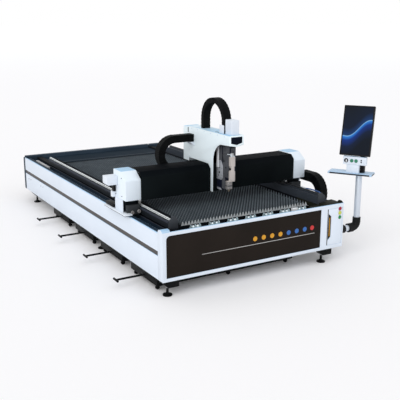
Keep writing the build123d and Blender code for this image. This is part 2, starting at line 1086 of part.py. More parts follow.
def chain_sketch(links, thick, ends=(), share=chain_link_share):
    face = Sketch()
    for u, v, angle in links:
        face += Pos(u, v) * Rot(0, 0, angle) * Rectangle(chain_pitch * share, thick)
    core = thick * chain_core_share
    end = chain_pitch * chain_end_share
    for u, v, angle in ends:
        face += Pos(u, v) * Rot(0, 0, angle) * Pos(end / 2, 0) * Rectangle(end, core)
    for (u0, v0, a0), (u1, v1, a1) in zip(links, links[1:]):
        middle = Pos((u0 + u1) / 2, (v0 + v1) / 2)
        length = chain_pitch / 2
        face += middle * Rot(0, 0, a0) * Rectangle(length, core)
        face += middle * Rot(0, 0, a1) * Rectangle(length, core)
    return face


def y_chain_left():
    return bed_width + cover_outer + y_chain_gap


def y_chain_part(links, thick, ends, share=chain_link_share):
    left = y_chain_left()
    return along_x(chain_sketch(links, thick, ends, share), left, left + y_chain_width)


def y_chain_lead():
    z = y_chain_z + y_chain_radius
    links = straight_links(y_chain_y, z, y_chain_attach, z)
    part = y_chain_part(links, y_chain_thick, [(y_chain_y, z, 0)])
    lug = block(bed_width + cover_outer, y_chain_left() + y_lug, y_chain_attach - y_lug, y_chain_attach,
                z - y_chain_thick / 4, z + y_chain_thick / 4)
    return part + lug


def y_chain_bend():
    links = bend_links(y_chain_y, y_chain_z, y_chain_radius, 270, -180)
    ends = [(y_chain_y, y_chain_z - y_chain_radius, 180), (y_chain_y, y_chain_z + y_chain_radius, 180)]
    return y_chain_part(links, bend_thick(y_chain_radius, y_chain_thick), ends, chain_bend_share)


def y_chain_run():
    z = y_chain_z - y_chain_radius
    links = straight_links(y_chain_y, z, y_chain_fixed, z)
    return y_chain_part(links, y_chain_thick, [(y_chain_y, z, 0)])


def y_chain_tray():
    top = y_chain_z - y_chain_radius - y_chain_thick / 2
    low = top - y_tray_floor
    left = y_chain_left() - y_tray_margin - y_tray_sheet
    right = y_chain_left() + y_chain_width + y_tray_margin + y_tray_sheet
    back = y_chain_fixed + y_tray_end
    tray = block(left, right, y_tray_start, back, low, top + y_tray_wall)
    tray -= block(left + y_tray_sheet, right - y_tray_sheet, y_tray_start - cut_over, back + cut_over,
                  top, top + y_tray_wall + cut_over)
    step = (back - y_tray_start) / y_tray_brackets
    for index in range(y_tray_brackets):
        y = y_tray_start + step * (index + 1 / 2)
        tray += block(bed_width - strip_depth + strip_thick, left, y - y_tray_bracket_width / 2,
                      y + y_tray_bracket_width / 2, low, low + y_tray_bracket_height)
    return tray


def x_chain_front():
    return girder_back() + x_tray_gap + hanger_thick + x_tray_sheet + x_tray_margin


def x_chain_z():
    return x_shelf_z + x_tray_sheet + x_chain_thick / 2 + x_chain_radius


def x_chain_part(links, thick, ends, share=chain_link_share):
    front = x_chain_front()
    return along_y(chain_sketch(links, thick, ends, share), front, front + x_chain_width)


def hood_left():
    return carriage_x - carriage_width / 2


def x_chain_lead():
    z = x_chain_z() + x_chain_radius
    links = straight_links(x_chain_bend, z, hood_left(), z)
    return x_chain_part(links, x_chain_thick, [(x_chain_bend, z, 0), (hood_left(), z, 180)])


def x_chain_bend_part():
    links = bend_links(x_chain_bend, x_chain_z(), x_chain_radius, 270, -180)
    ends = [(x_chain_bend, x_chain_z() - x_chain_radius, 180), (x_chain_bend, x_chain_z() + x_chain_radius, 180)]
    return x_chain_part(links, bend_thick(x_chain_radius, x_chain_thick), ends, chain_bend_share)


def x_chain_run():
    z = x_chain_z() - x_chain_radius
    links = straight_links(x_chain_bend, z, x_chain_fixed, z)
    return x_chain_part(links, x_chain_thick, [(x_chain_bend, z, 0)])


def x_chain_tray():
    left = cover_right() + x_tray_end
    right = bed_width - left
    low = gantry_low - girder_drop
    back = x_chain_front() + x_chain_width + x_tray_margin
    front = x_chain_front() - x_tray_margin
    tray = block(left, right, girder_back(), back + x_tray_sheet, low, low + x_tray_sheet)
    tray += block(left, right, back, back + x_tray_sheet, low, x_shelf_z + x_tray_sheet)
    tray += block(left, right, front - x_tray_sheet, back, x_shelf_z, x_shelf_z + x_tray_sheet)
    return tray + block(left, right, front - x_tray_sheet, front, x_shelf_z, x_shelf_z + x_tray_lip)


def hood_outline():
    shank_back = gantry_front + shroud_front - shank_gap
    over = gantry_top - shroud_drop + hood_clear
    chamfer_back = shank_back + shroud_chamfer
    notch_back = x_chain_front() + x_chain_width + x_tray_margin + x_tray_sheet + hood_clear
    nose_low = hood_top - hood_nose
    lower = Polyline((arch_back, arch_low), (shank_front, shank_low), (shank_back, shank_low),
                     (shank_back, over - shroud_chamfer), (chamfer_back, over), (notch_back, over),
                     (notch_back, rear_low), (hood_back, rear_low), (hood_back, hood_top),
                     (hood_front, hood_top), (hood_front, nose_low), (arch_front, arch_top))
    arch = ThreePointArc((arch_front, arch_top), ((arch_front + 2 * arch_back) / 3, (2 * arch_top + arch_low) / 3),
                         (arch_back, arch_low))
    return make_face([lower, arch])


def carriage_cover():
    left = hood_left()
    right = left + carriage_width
    sheet = hood_sheet
    face = hood_outline()
    shell = along_x(face, left, right)
    room = face & rect(hood_front + sheet, hood_back - sheet, shank_low - cut_over, hood_top - sheet)
    shell -= along_x(room, left + sheet, right - sheet)
    nose_low = hood_top - hood_nose
    nose = outline([(left, hood_top), (left, nose_low), (carriage_x, nose_low - hood_vee), (right, nose_low),
                    (right, hood_top)])
    shell += along_y(nose, hood_front, hood_front + sheet)
    slot_y = z_chain_rear - 2 * z_chain_radius
    slot_x = z_chain_width / 2 + z_chain_clear
    slot_half = z_chain_thick / 2 + z_chain_clear
    shell -= block(carriage_x - slot_x, carriage_x + slot_x, slot_y - slot_half, slot_y + slot_half,
                   hood_top - cut_over, hood_top + cut_over)
    box = block(left + rear_box_inset, right - rear_box_inset, hood_back, hood_back + rear_box_depth,
                rear_low, hood_top - rear_box_top)
    return shell + box + badge()


def badge():
    half_w = badge_width / 2
    high = hood_top - badge_rise
    low = high - badge_height
    points = [
        (carriage_x - half_w, high),
        (carriage_x - half_w, low),
        (carriage_x, low - badge_vee),
        (carriage_x + half_w, low),
        (carriage_x + half_w, high),
    ]
    return along_y(outline(points), hood_front - badge_thick, hood_front)


def carriage_plate():
    left = hood_left() + hood_sheet
    right = left + carriage_width - 2 * hood_sheet
    hanger_front = girder_back() + x_rail_thick + fit_gap
    hanger_back = hanger_front + hanger_thick
    girder_low = gantry_low - girder_drop
    hanger_low = girder_low + girder_height * hanger_low_share
    bridge_low = gantry_top - shroud_drop + hood_clear
    face_back = gantry_front + shroud_front - shank_gap
    plate = block(left, right, hanger_front, hanger_back, hanger_low, bridge_low)
    plate += block(left, right, face_back - face_thick, hanger_back, bridge_low, bridge_low + bridge_thick)
    plate += block(left, right, face_back - face_thick, face_back, shank_low, bridge_low + bridge_thick)
    return plate


def z_motor_cover():
    half = motor_hood_width / 2
    box = block(carriage_x - half, carriage_x + half, motor_hood_front, motor_hood_front + motor_hood_depth,
                hood_top, hood_top + motor_hood_height)
    return fillet(box.edges().filter_by(Axis.Z) + box.edges().group_by(Axis.Z)[-1], motor_hood_round)


def slide_back():
    return gantry_front + shroud_front - shank_gap - face_thick - slide_back_gap


def z_slide():
    front = slide_back() - slide_depth
    slide = block(slide_left, slide_left + slide_width, front, slide_back(), slide_low, slide_top)
    middle = slide_left + slide_width / 2
    return slide + block(middle - mount_width / 2, middle + mount_width / 2, front - mount_depth, front,
                         mount_low, slide_top)


def head_back():
    return slide_back() - slide_depth - mount_depth


def laser_head():
    half = head_width / 2
    high = head_low + head_height
    waist_low = head_low + head_height * waist_low_share
    waist_high = head_low + head_height * waist_high_share
    points = [(head_x + half, head_low)]
    for side in (1, -1):
        edge = [
            (head_x + side * half, waist_low),
            (head_x + side * (half - head_waist), waist_low + head_waist),
            (head_x + side * (half - head_waist), waist_high - head_waist),
            (head_x + side * half, waist_high),
            (head_x + side * half, high),
        ]
        points += edge if side > 0 else edge[::-1]
    points.append((head_x - half, head_low))
    body = along_y(outline(points), head_front, head_back())
    neck_y = (head_front + head_back()) / 2
    neck = Pos(head_x, neck_y, high + head_neck_height / 2) * Cylinder(head_neck_radius, head_neck_height)
    x = head_x + lens_shift
    lens = block(x - lens_block_width / 2, x + lens_block_width / 2, lens_front(), lens_front() + lens_block_depth,
                 head_low - lens_block_height, head_low)
    return body + neck + lens


def lens_front():
    return head_front + lens_block_inset


def nozzle():
    high = head_low - lens_block_height
    y = lens_front() + lens_block_depth / 2
    cone = Cone(nozzle_tip_radius, nozzle_radius, nozzle_height)
    return Pos(head_x + lens_shift, y, high - nozzle_height / 2) * cone


def z_chain():
    front = z_chain_rear - 2 * z_chain_radius
    links = straight_links(front, slide_top, front, z_chain_z)
    links += bend_links((front + z_chain_rear) / 2, z_chain_z, z_chain_radius, 180, -180)
    links += straight_links(z_chain_rear, z_chain_z, z_chain_rear, hood_top + chain_pitch * (1 - chain_link_share) / 2)
    half = z_chain_width / 2
    chain = along_x(chain_sketch(links, z_chain_thick), carriage_x - half, carriage_x + half)
    foot = block(carriage_x - half, carriage_x + half, z_chain_rear - z_chain_thick / 2,
                 z_chain_rear + z_chain_thick / 2, hood_top, hood_top + chain_pitch)
    end = block(carriage_x - half, carriage_x + half, front - z_chain_thick / 2, front + z_chain_thick / 2,
                slide_top, slide_top + chain_pitch)
    return chain + foot + end


def trolley(middle):
    y0 = middle - trolley_width / 2
    y1 = middle + trolley_width / 2
    right = trolley_left + trolley_length
    wall = trolley_wall
    tray = block(trolley_left, right, y0, y1, trolley_floor, trolley_floor + trolley_height)
    tray -= block(trolley_left + wall, right - wall, y0 + wall, y1 - wall, trolley_floor + wall,
                  trolley_floor + trolley_height + cut_over)
    rod_z = trolley_floor + rod_rise
    rod = Pos(trolley_left - rod_reach / 2, middle, rod_z) * Rot(0, 90, 0) * Cylinder(rod_radius, rod_reach)
    tee = Pos(trolley_left - rod_reach, middle, rod_z) * Rot(90, 0, 0) * Cylinder(rod_radius, tee_length)
    pieces = [tray + rod + tee]
    for share in wheel_shares:
        x = trolley_left + trolley_length * share
        for y in (y0 + wheel_inset, y1 - wheel_inset):
            fork = block(x - wheel_radius / 2, x + wheel_radius / 2, y - fork_width / 2, y + fork_width / 2,
                         wheel_radius / 2, trolley_floor)
            fork -= block(x - wheel_radius, x + wheel_radius, y - wheel_width / 2 - fork_cut,
                          y + wheel_width / 2 + fork_cut, 0, trolley_floor - fork_cut * 2)
            axle = Pos(x, y, wheel_radius + axle_clear) * Rot(90, 0, 0) * Cylinder(axle_radius, fork_width)
            wheel = Pos(x, y, wheel_radius + axle_clear) * Rot(90, 0, 0) * Cylinder(wheel_radius, wheel_width)
            pieces[0] += fork
            pieces[0] += axle + wheel
    return grouped(pieces)


def make_nodes():
    nodes = {
        "bed_frame": bed_frame(),
        "left_panel": side_panel(),
        "right_panel": other_side(side_panel()),
        "trim_strips": grouped(both_sides(trim_strip())),
        "front_frame": front_frame(),
        "front_panel": front_panel(),
        "rear_wall": rear_wall(),
        "rear_deck": rear_deck(),
        "slats": slats(),
        "slat_combs": slat_combs(),
        "rail_beams": grouped(both_sides(rail_beam())),
        "guide_rails": grouped([side for piece in guide_rail() for side in both_sides(piece)]),
        "gutters": grouped(both_sides(gutter())),
        "ball_blocks": ball_blocks(),
        "loading_balls": loading_balls(),
        "foot_brackets": foot_brackets(),
        "levelling_feet": levelling_feet(),
        "cabinet_shell": cabinet_shell(),
        "cabinet_backplate": cabinet_backplate(),
        "drive_units": drive_units(),
        "cabinet_door": cabinet_door(),
        "door_handle": door_handle(),
        "status_lamps": status_lamps(),
        "arm_elbow": arm_elbow(),
        "arm_sleeve": arm_sleeve(),
        "pendant_column": pendant_column(),
        "keyboard_tray": keyboard_tray(),
        "pendant_neck": pendant_neck(),
        "control_box": control_box(),
        "monitor_housing": monitor_housing(),
        "screen_panel": screen_panel(),
        "start_button": push_button(button_offsets[0]),
        "pause_button": push_button(button_offsets[1]),
        "selector_knob": selector_knob(),
        "gantry_beam": gantry_beam(),
        "beam_cover": beam_cover(),
        "end_covers": grouped(both_sides(end_cover())),
        "gantry_legs": gantry_legs(),
        "bearing_blocks": bearing_blocks(),
        "drive_motor": drive_motor(),
        "x_rails": x_rails(),
        "y_chain_lead": y_chain_lead(),
        "y_chain_bend": y_chain_bend(),
        "y_chain_run": y_chain_run(),
        "y_chain_tray": y_chain_tray(),
        "x_chain_lead": x_chain_lead(),
        "x_chain_bend": x_chain_bend_part(),
        "x_chain_run": x_chain_run(),
        "x_chain_tray": x_chain_tray(),
        "carriage_plate": carriage_plate(),
        "carriage_cover": carriage_cover(),
        "z_motor_cover": z_motor_cover(),
        "z_slide": z_slide(),
        "laser_head": laser_head(),
        "nozzle": nozzle(),
        "z_chain": z_chain(),
    }
    for index in range(bay_count):
        nodes[f"trolley_{index + 1}"] = trolley(first_bay + bay_pitch * index)
    return nodes


def main():
    nodes = make_nodes()
    box = Compound([solid for node in nodes.values() for solid in node.solids()]).bounding_box()
    shift = Pos(-box.center().X, -box.center().Y, -box.min.Z)
    print("shift", -box.center().X, -box.center().Y, -box.min.Z)
    os.makedirs("parts", exist_ok=True)
    for name, node in nodes.items():
        export_step(shift * node, f"parts/{name}.step")


main()
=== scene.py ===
import bpy
import bmesh
import math
from mathutils import Matrix, Vector
from mathutils.bvhtree import BVHTree


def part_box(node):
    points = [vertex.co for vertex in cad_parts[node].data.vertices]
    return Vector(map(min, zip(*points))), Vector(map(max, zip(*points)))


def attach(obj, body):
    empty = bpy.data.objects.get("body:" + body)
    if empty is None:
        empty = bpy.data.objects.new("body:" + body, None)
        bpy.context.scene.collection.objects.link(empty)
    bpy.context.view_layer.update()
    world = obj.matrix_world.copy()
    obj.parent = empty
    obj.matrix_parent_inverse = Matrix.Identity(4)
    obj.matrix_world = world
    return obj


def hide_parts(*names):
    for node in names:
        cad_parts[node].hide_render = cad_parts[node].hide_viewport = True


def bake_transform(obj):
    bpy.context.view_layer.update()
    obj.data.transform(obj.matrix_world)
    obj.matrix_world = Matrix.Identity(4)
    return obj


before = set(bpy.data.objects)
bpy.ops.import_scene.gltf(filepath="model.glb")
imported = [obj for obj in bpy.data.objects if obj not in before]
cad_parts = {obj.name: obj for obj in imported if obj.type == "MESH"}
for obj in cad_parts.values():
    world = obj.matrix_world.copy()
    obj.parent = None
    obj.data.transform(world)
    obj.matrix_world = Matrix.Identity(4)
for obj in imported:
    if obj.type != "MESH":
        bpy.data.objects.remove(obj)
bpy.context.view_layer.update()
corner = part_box("front_frame")[0]  # left front corner of the bed
mm = 0.001
origin = Vector((0, 0, 0))
leftward = Vector((-1, 0, 0))
rightward = Vector((1, 0, 0))
forward = Vector((0, -1, 0))
upwards = Vector((0, 0, 1))


def at(x, y, z):  # a place on the machine in millimetres
    return Vector((corner.x + x * mm, corner.y + y * mm, z * mm))


def shift(x, y, z):  # a step in millimetres
    return Vector((x * mm, y * mm, z * mm))


def scaled(profile, size=1):  # a turned profile in millimetres, its radii times size
    return [(radius * size * mm, rise * mm) for radius, rise in profile]


pendantAxis = {"x": 2612, "y": 60, "yaw": -56.4}
pendantTurn = Matrix.Rotation(math.radians(pendantAxis["yaw"]), 4, "Z")


def atPendant(u, v, z):
    turned = pendantTurn @ Vector((u, v, 0))
    return at(pendantAxis["x"] + turned.x, pendantAxis["y"] + turned.y, z)


# materials: a clouded colour with fine grain
def node(tree, kind, fixed=None, **values):
    made = tree.nodes.new(kind)
    for key, value in values.items():
        setattr(made, key, value)
    adjust(made, fixed or {})
    return made


def adjust(part, fixed):
    for key, value in fixed.items():
        part.inputs[key].default_value = value


def join(source, output, target, entry):
    source.id_data.links.new(source.outputs[output], target.inputs[entry])


def newMaterial(name):
    material = bpy.data.materials.new(name)
    material.use_nodes = True
    return material, material.node_tree, material.node_tree.nodes["Principled BSDF"]


finishSet = {"rampEnds": (0.32, 0.68), "cloudDetail": 4, "grainDetail": 2, "roughVary": 0.06,
             "relief": 0.0006, "coatRough": 0.1, "paintedSkyFull": 0.99}


def finishMaterial(name, dark, light, look):
    material, tree, shader = newMaterial(name)
    place = node(tree, "ShaderNodeTexCoord")
    stretch = node(tree, "ShaderNodeMapping", {"Scale": look.get("stretch", (1, 1, 1))})
    join(place, "Object", stretch, "Vector")
    cloud = node(tree, "ShaderNodeTexNoise", {"Scale": look["cloud"], "Detail": finishSet["cloudDetail"]})
    join(stretch, "Vector", cloud, "Vector")
    ramp = node(tree, "ShaderNodeValToRGB")
    for stop, position, colour in zip(ramp.color_ramp.elements, finishSet["rampEnds"], (dark, light)):
        stop.position = position
        stop.color = (*colour, 1)
    join(cloud, "Fac", ramp, "Fac")
    shade = (ramp, "Color")
    if "paintedSkyTint" in look:  # painted sky reflection: faces that look up take a cooler, bluer tint
        paintedSkyFacing = node(tree, "ShaderNodeAttribute", attribute_name="paintedSkyFacing")
        top = node(tree, "ShaderNodeMapRange",
                   {"From Min": look["paintedSkyFrom"], "From Max": finishSet["paintedSkyFull"]},
                   interpolation_type="SMOOTHSTEP")
        join(paintedSkyFacing, "Fac", top, "Value")
        paintedSkyMix = node(tree, "ShaderNodeMix", data_type="RGBA", blend_type="MULTIPLY")
        adjust(paintedSkyMix, {7: (*look["paintedSkyTint"], 1)})
        join(top, "Result", paintedSkyMix, "Factor")
        join(*shade, paintedSkyMix, 6)
        shade = (paintedSkyMix, 2)
    if "toothFootShade" in look:  # painted shade: dimmer towards the foot of the teeth
        low, high, dim = look["toothFootShade"]
        height = node(tree, "ShaderNodeSeparateXYZ")
        join(place, "Object", height, "Vector")
        rise = node(tree, "ShaderNodeMapRange", {"From Min": low, "From Max": high},
                    interpolation_type="SMOOTHSTEP")
        join(height, "Z", rise, "Value")
        footShadeMix = node(tree, "ShaderNodeMix", data_type="RGBA")
        adjust(footShadeMix, {6: (*dim, 1)})
        join(rise, "Result", footShadeMix, "Factor")
        join(*shade, footShadeMix, 7)
        shade = (footShadeMix, 2)
    join(*shade, shader, "Base Color")
    grain = node(tree, "ShaderNodeTexNoise", {"Scale": look["grain"], "Detail": finishSet["grainDetail"]})
    join(stretch, "Vector", grain, "Vector")
    spread = node(tree, "ShaderNodeMapRange", {"To Min": look["rough"] - finishSet["roughVary"],
                                               "To Max": look["rough"] + finishSet["roughVary"]})
    join(grain, "Fac", spread, "Value")
    join(spread, "Result", shader, "Roughness")
    relief = node(tree, "ShaderNodeBump", {"Strength": look["bump"], "Distance": finishSet["relief"]})
    join(grain, "Fac", relief, "Height")
    join(relief, "Normal", shader, "Normal")
    adjust(shader, {"Metallic": look.get("metal", 0), "Specular IOR Level": look.get("specular", 0.5),
                    "Coat Weight": look.get("coat", 0), "Coat Roughness": finishSet["coatRough"]})
    return material


satin = {"rough": 0.42, "cloud": 1.6, "grain": 260, "bump": 0.06, "specular": 0.4}
matt = {"rough": 0.62, "cloud": 2.2, "grain": 240, "bump": 0.10, "specular": 0.3}
moulded = {"rough": 0.5, "cloud": 5, "grain": 520, "bump": 0.12, "specular": 0.35}
brushedX = {"rough": 0.32, "metal": 1, "cloud": 6, "grain": 300, "stretch": (0.06, 1, 1), "bump": 0.05}
brushedY = {"rough": 0.30, "metal": 1, "cloud": 6, "grain": 300, "stretch": (1, 0.06, 1), "bump": 0.05}
brushedZ = {"rough": 0.34, "metal": 1, "cloud": 6, "grain": 300, "stretch": (1, 1, 0.06), "bump": 0.05}

finishes = {  # darker, lighter, look
    # the white paints and the beam paint below carry a painted sky reflection: their upward faces are tinted
    # blue
    "whitePaint": ((0.70, 0.765, 0.855), (0.735, 0.80, 0.89),
                   dict(satin, specular=0.3, paintedSkyTint=(0.50, 0.725, 0.90), paintedSkyFrom=0.2)),
    # brighter copies of the white paint for the end covers and the hood: painted light, lifting them above
    # the panels
    "coverPaint": ((0.78, 0.86, 0.94), (0.81, 0.89, 0.97),
                   dict(satin, specular=0.3, paintedSkyTint=(0.41, 0.645, 0.83), paintedSkyFrom=0.88)),
    "hoodWhiteLitCopy": ((0.84, 0.94, 0.985), (0.87, 0.965, 1.0),
                  dict(satin, specular=0.3, paintedSkyTint=(0.43, 0.655, 0.85), paintedSkyFrom=0.85)),
    "gutterNavy": ((0.013, 0.026, 0.044), (0.022, 0.040, 0.064), dict(matt, specular=0.08)),
    # a darker copy of the navy for the deck's flat top: painted shade
    "deckNavyShadedCopy": ((0.0060, 0.0140, 0.0235), (0.0095, 0.0205, 0.0330), dict(satin, specular=0.05, rough=0.65)),
    # a lighter copy of the beam slate for the far beam: painted light
    "beamSlateLitCopy": ((0.038, 0.046, 0.059), (0.050, 0.060, 0.074), dict(satin, specular=0.15, rough=0.55)),
    "bracketGrey": ((0.020, 0.022, 0.026), (0.034, 0.037, 0.042), dict(matt, specular=0.2)),
    "plainWhite": ((0.71, 0.76, 0.83), (0.75, 0.80, 0.87), dict(satin, specular=0.3)),
    # near-white matt paint for the slide cover strip: a painted highlight standing for bright metal in the
    # hood's shade
    "slideStripPaintedHighlight": ((0.88, 0.91, 0.95), (0.95, 0.97, 1.0), dict(brushedZ, metal=0, rough=0.42)),
    "badgeNavy": ((0.002, 0.0035, 0.008), (0.004, 0.006, 0.014), dict(satin, rough=0.6, specular=0.05)),
    "tealZinc": ((0.30, 0.42, 0.46), (0.56, 0.68, 0.72), dict(satin, rough=0.35, metal=0.3, cloud=25)),
    "ivoryPlastic": ((0.72, 0.74, 0.76), (0.80, 0.82, 0.84), moulded),
    "dotAmber": ((0.55, 0.24, 0.01), (0.68, 0.32, 0.015), dict(satin, rough=0.5)),
    "dotBlue": ((0.02, 0.10, 0.36), (0.035, 0.15, 0.46), dict(satin, rough=0.5)),
    "dotRed": ((0.48, 0.02, 0.02), (0.60, 0.035, 0.035), dict(satin, rough=0.5)),
    "cableGrey": ((0.020, 0.022, 0.026), (0.045, 0.048, 0.055), dict(moulded, cloud=30)),
    "cableTeal": ((0.02, 0.10, 0.11), (0.035, 0.15, 0.16), dict(moulded, cloud=30)),
    "cableRed": ((0.16, 0.03, 0.025), (0.24, 0.05, 0.04), dict(moulded, cloud=30)),
    "plateSilver": ((0.26, 0.275, 0.305), (0.44, 0.46, 0.50), dict(brushedZ, rough=0.45, metal=0.2)),
    "rackSteel": ((0.05, 0.05, 0.052), (0.10, 0.10, 0.105), dict(brushedY, rough=0.5)),
    "edgeNavy": ((0.006, 0.009, 0.016), (0.012, 0.017, 0.028), satin),
    "trayBlue": ((0.40, 0.56, 0.74), (0.46, 0.62, 0.80), satin),
    "framePaint": ((0.003, 0.004, 0.006), (0.006, 0.008, 0.011), dict(matt, specular=0.06, rough=0.7)),
    "oliveDark": ((0.010, 0.011, 0.007), (0.018, 0.019, 0.012), dict(matt, specular=0.08, rough=0.65)),
    "beamSlate": ((0.0085, 0.0115, 0.0155), (0.013, 0.017, 0.022), dict(satin, specular=0.18, rough=0.5)),
    "plateSlate": ((0.035, 0.040, 0.048), (0.055, 0.062, 0.072), dict(satin, specular=0.2, rough=0.5)),
    # dark grey for the hood's inner faces: painted shade
    "hoodShadeGrey": ((0.012, 0.013, 0.016), (0.024, 0.026, 0.031), dict(matt, specular=0.1)),
    "slideDark": ((0.006, 0.008, 0.018), (0.012, 0.015, 0.030), dict(satin, specular=0.15)),
    "lensGrey": ((0.20, 0.19, 0.185), (0.30, 0.285, 0.28), dict(satin, rough=0.4)),
    # pale matt paint for the polished guide rail: a painted reflection of the bright surroundings
    "railWhite": ((0.66, 0.69, 0.70), (0.82, 0.85, 0.86), dict(brushedY, metal=0, rough=0.4, specular=0.5)),
    "rackNavy": ((0.030, 0.036, 0.052), (0.048, 0.056, 0.077), dict(satin, specular=0.2, rough=0.5)),
    "hoseBlue": ((0.02, 0.07, 0.22), (0.035, 0.11, 0.32), dict(moulded, cloud=30)),
    "pinkGrey": ((0.30, 0.29, 0.29), (0.42, 0.41, 0.41), dict(satin, rough=0.5)),
    "trimGrey": ((0.075, 0.068, 0.066), (0.10, 0.092, 0.09), matt),
    "panelBlack": ((0.015, 0.0115, 0.0095), (0.019, 0.0145, 0.012),
                   dict(matt, specular=0.06, rough=0.7, bump=0.06)),
    "navyPaint": ((0.019, 0.033, 0.052), (0.030, 0.049, 0.073), dict(satin, specular=0.12, rough=0.55)),
    # the slat bodies, deep between the teeth, in a far darker copy of the slat steel: painted shade
    "slatSteelShadedCopy": ((0.006, 0.008, 0.010), (0.012, 0.015, 0.018),
                  dict(brushedX, rough=0.55, metal=0, specular=0.10)),
    # tooth steel dims towards the tooth foot: painted shade
    "toothSteel": ((0.125, 0.150, 0.172), (0.18, 0.213, 0.242),
                   dict(brushedZ, metal=0, rough=0.45, specular=0.3,
                        toothFootShade=(0.640, 0.667, (0.066, 0.080, 0.092)))),
    # a lighter copy of the tooth steel for the front slat: painted highlight where light falls on its teeth
    "toothPaintedHighlight": ((0.60, 0.64, 0.67), (0.80, 0.83, 0.85), dict(brushedZ, metal=0.3, rough=0.4)),
    # beam cover paint: its upward faces take a painted blue sky reflection
    "beamPaint": ((0.0035, 0.005, 0.0058), (0.006, 0.0085, 0.0095),
                  dict(matt, specular=0.03, rough=0.75, paintedSkyTint=(0.22, 0.27, 0.42), paintedSkyFrom=0.3)),
    "brightSteel": ((0.58, 0.58, 0.57), (0.74, 0.74, 0.73), brushedY),
    "ballChrome": ((0.50, 0.56, 0.60), (0.66, 0.72, 0.76), dict(brushedY, rough=0.16, bump=0.01)),
    "blackPaint": ((0.002, 0.0022, 0.0026), (0.005, 0.0052, 0.006), dict(satin, specular=0.10, rough=0.5)),
    "zincPlate": ((0.40, 0.41, 0.42), (0.60, 0.61, 0.62), dict(brushedZ, cloud=18, rough=0.4)),
    "unitPlastic": ((0.05, 0.053, 0.06), (0.075, 0.08, 0.09), moulded),
    "blackPlastic": ((0.003, 0.003, 0.0036), (0.007, 0.007, 0.008), dict(moulded, specular=0.14)),
    "silverTube": ((0.56, 0.61, 0.68), (0.68, 0.73, 0.80), dict(brushedZ, metal=0.35, rough=0.36)),
    "greenPlastic": ((0.012, 0.16, 0.085), (0.02, 0.22, 0.12), dict(moulded, rough=0.3, coat=0.4)),
    "chainPlastic": ((0.002, 0.0024, 0.0028), (0.0048, 0.0055, 0.006),
                     dict(moulded, specular=0.06, rough=0.6)),
    "slideGrey": ((0.060, 0.064, 0.074), (0.115, 0.12, 0.135),
                  dict(brushedZ, metal=0.2, rough=0.45, specular=0.3)),
    "headTaupe": ((0.475, 0.432, 0.408), (0.56, 0.512, 0.485), dict(satin, rough=0.42, specular=0.3)),
    "nozzleBrass": ((0.42, 0.36, 0.28), (0.58, 0.51, 0.42), dict(brushedZ, rough=0.3, metal=0.7)),
    "amberPlastic": ((0.46, 0.22, 0.012), (0.60, 0.31, 0.02), moulded),
    "lampRed": ((0.30, 0.006, 0.030), (0.42, 0.010, 0.045), dict(moulded, rough=0.3, specular=0.3)),
    "lampYellow": ((0.46, 0.50, 0.06), (0.60, 0.64, 0.10), dict(moulded, rough=0.3, specular=0.3)),
    "lampGreen": ((0.008, 0.17, 0.055), (0.014, 0.26, 0.09), dict(moulded, rough=0.3, specular=0.3)),
    "stripeSilver": ((0.44, 0.43, 0.42), (0.56, 0.55, 0.54), dict(satin, rough=0.5)),
}
paints = {name: finishMaterial(name, *finish) for name, finish in finishes.items()}
# finishes with a painted sky reflection on their upward faces
skyPaintedFinishes = ("whitePaint", "coverPaint", "hoodWhiteLitCopy", "beamPaint")
print("materials made:", len(paints))


# shape helpers
def addObject(name, data):
    made = bpy.data.objects.new(name, data)
    bpy.context.collection.objects.link(made)
    return made


def bakeMesh(name, shape):
    mesh = bpy.data.meshes.new(name)
    shape.to_mesh(mesh)
    shape.free()
    return mesh


plainAngle = 32


def keepMesh(name, shape, smoothAngle=plainAngle):
    bmesh.ops.recalc_face_normals(shape, faces=shape.faces)
    made = addObject(name, bakeMesh(name, shape))
    smooth(made, smoothAngle)
    return made


def smooth(piece, angle):
    for face in piece.data.polygons:
        face.use_smooth = True
    piece.data.set_sharp_from_angle(angle=math.radians(angle))


def settle(piece):
    graph = bpy.context.evaluated_depsgraph_get()
    graph.update()
    plain = bpy.data.meshes.new_from_object(piece.evaluated_get(graph), depsgraph=graph)
    piece.modifiers.clear()
    old = piece.data
    piece.data = plain
    bpy.data.meshes.remove(old)
    return piece


def outerBox(mesh):
    spots = [vert.co for vert in mesh.vertices]
    lows = [min(spot[axis] for spot in spots) for axis in range(3)]
    return lows + [-max(spot[axis] for spot in spots) for axis in range(3)]


softenSet = {"angle": 30, "smoothAngle": 40, "slack": 0.0001}


def soften(piece, width, segments=2):
    sharp = piece.data.copy()
    wanted = outerBox(sharp)
    for held in (False, True):
        rounding = piece.modifiers.new("edges", "BEVEL")
        rounding.width = width * mm
        rounding.segments = segments
        rounding.limit_method = "ANGLE"
        rounding.angle_limit = math.radians(softenSet["angle"])
        rounding.use_clamp_overlap = held  # held back when a round would poke out of the piece
        settle(piece)
        if all(now > before - softenSet["slack"] for now, before in zip(outerBox(piece.data), wanted)):
            break
        if not held:
            print("rounding held back:", piece.name)
            piece.data = sharp.copy()
    smooth(piece, softenSet["smoothAngle"])
    return piece


cadSet = {"weld": 0.00003, "flat": 0.4}


def cadCopy(name, cadNode):
    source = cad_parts[cadNode]
    shape = bmesh.new()
    shape.from_mesh(source.data)
    shape.transform(source.matrix_world)
    bmesh.ops.remove_doubles(shape, verts=shape.verts, dist=cadSet["weld"])
    bmesh.ops.dissolve_limit(shape, angle_limit=math.radians(cadSet["flat"]), verts=shape.verts,
                             edges=shape.edges)
    return keepMesh(name, shape)


def markPaintedSky(piece):  # how far each corner faces up, read by the paints with a painted sky reflection on their tops
    mesh = piece.data
    paintedSkyFacing = mesh.attributes.new("paintedSkyFacing", "FLOAT", "CORNER")
    paintedSkyFacing.data.foreach_set("value", [normal.vector.z for normal in mesh.corner_normals])


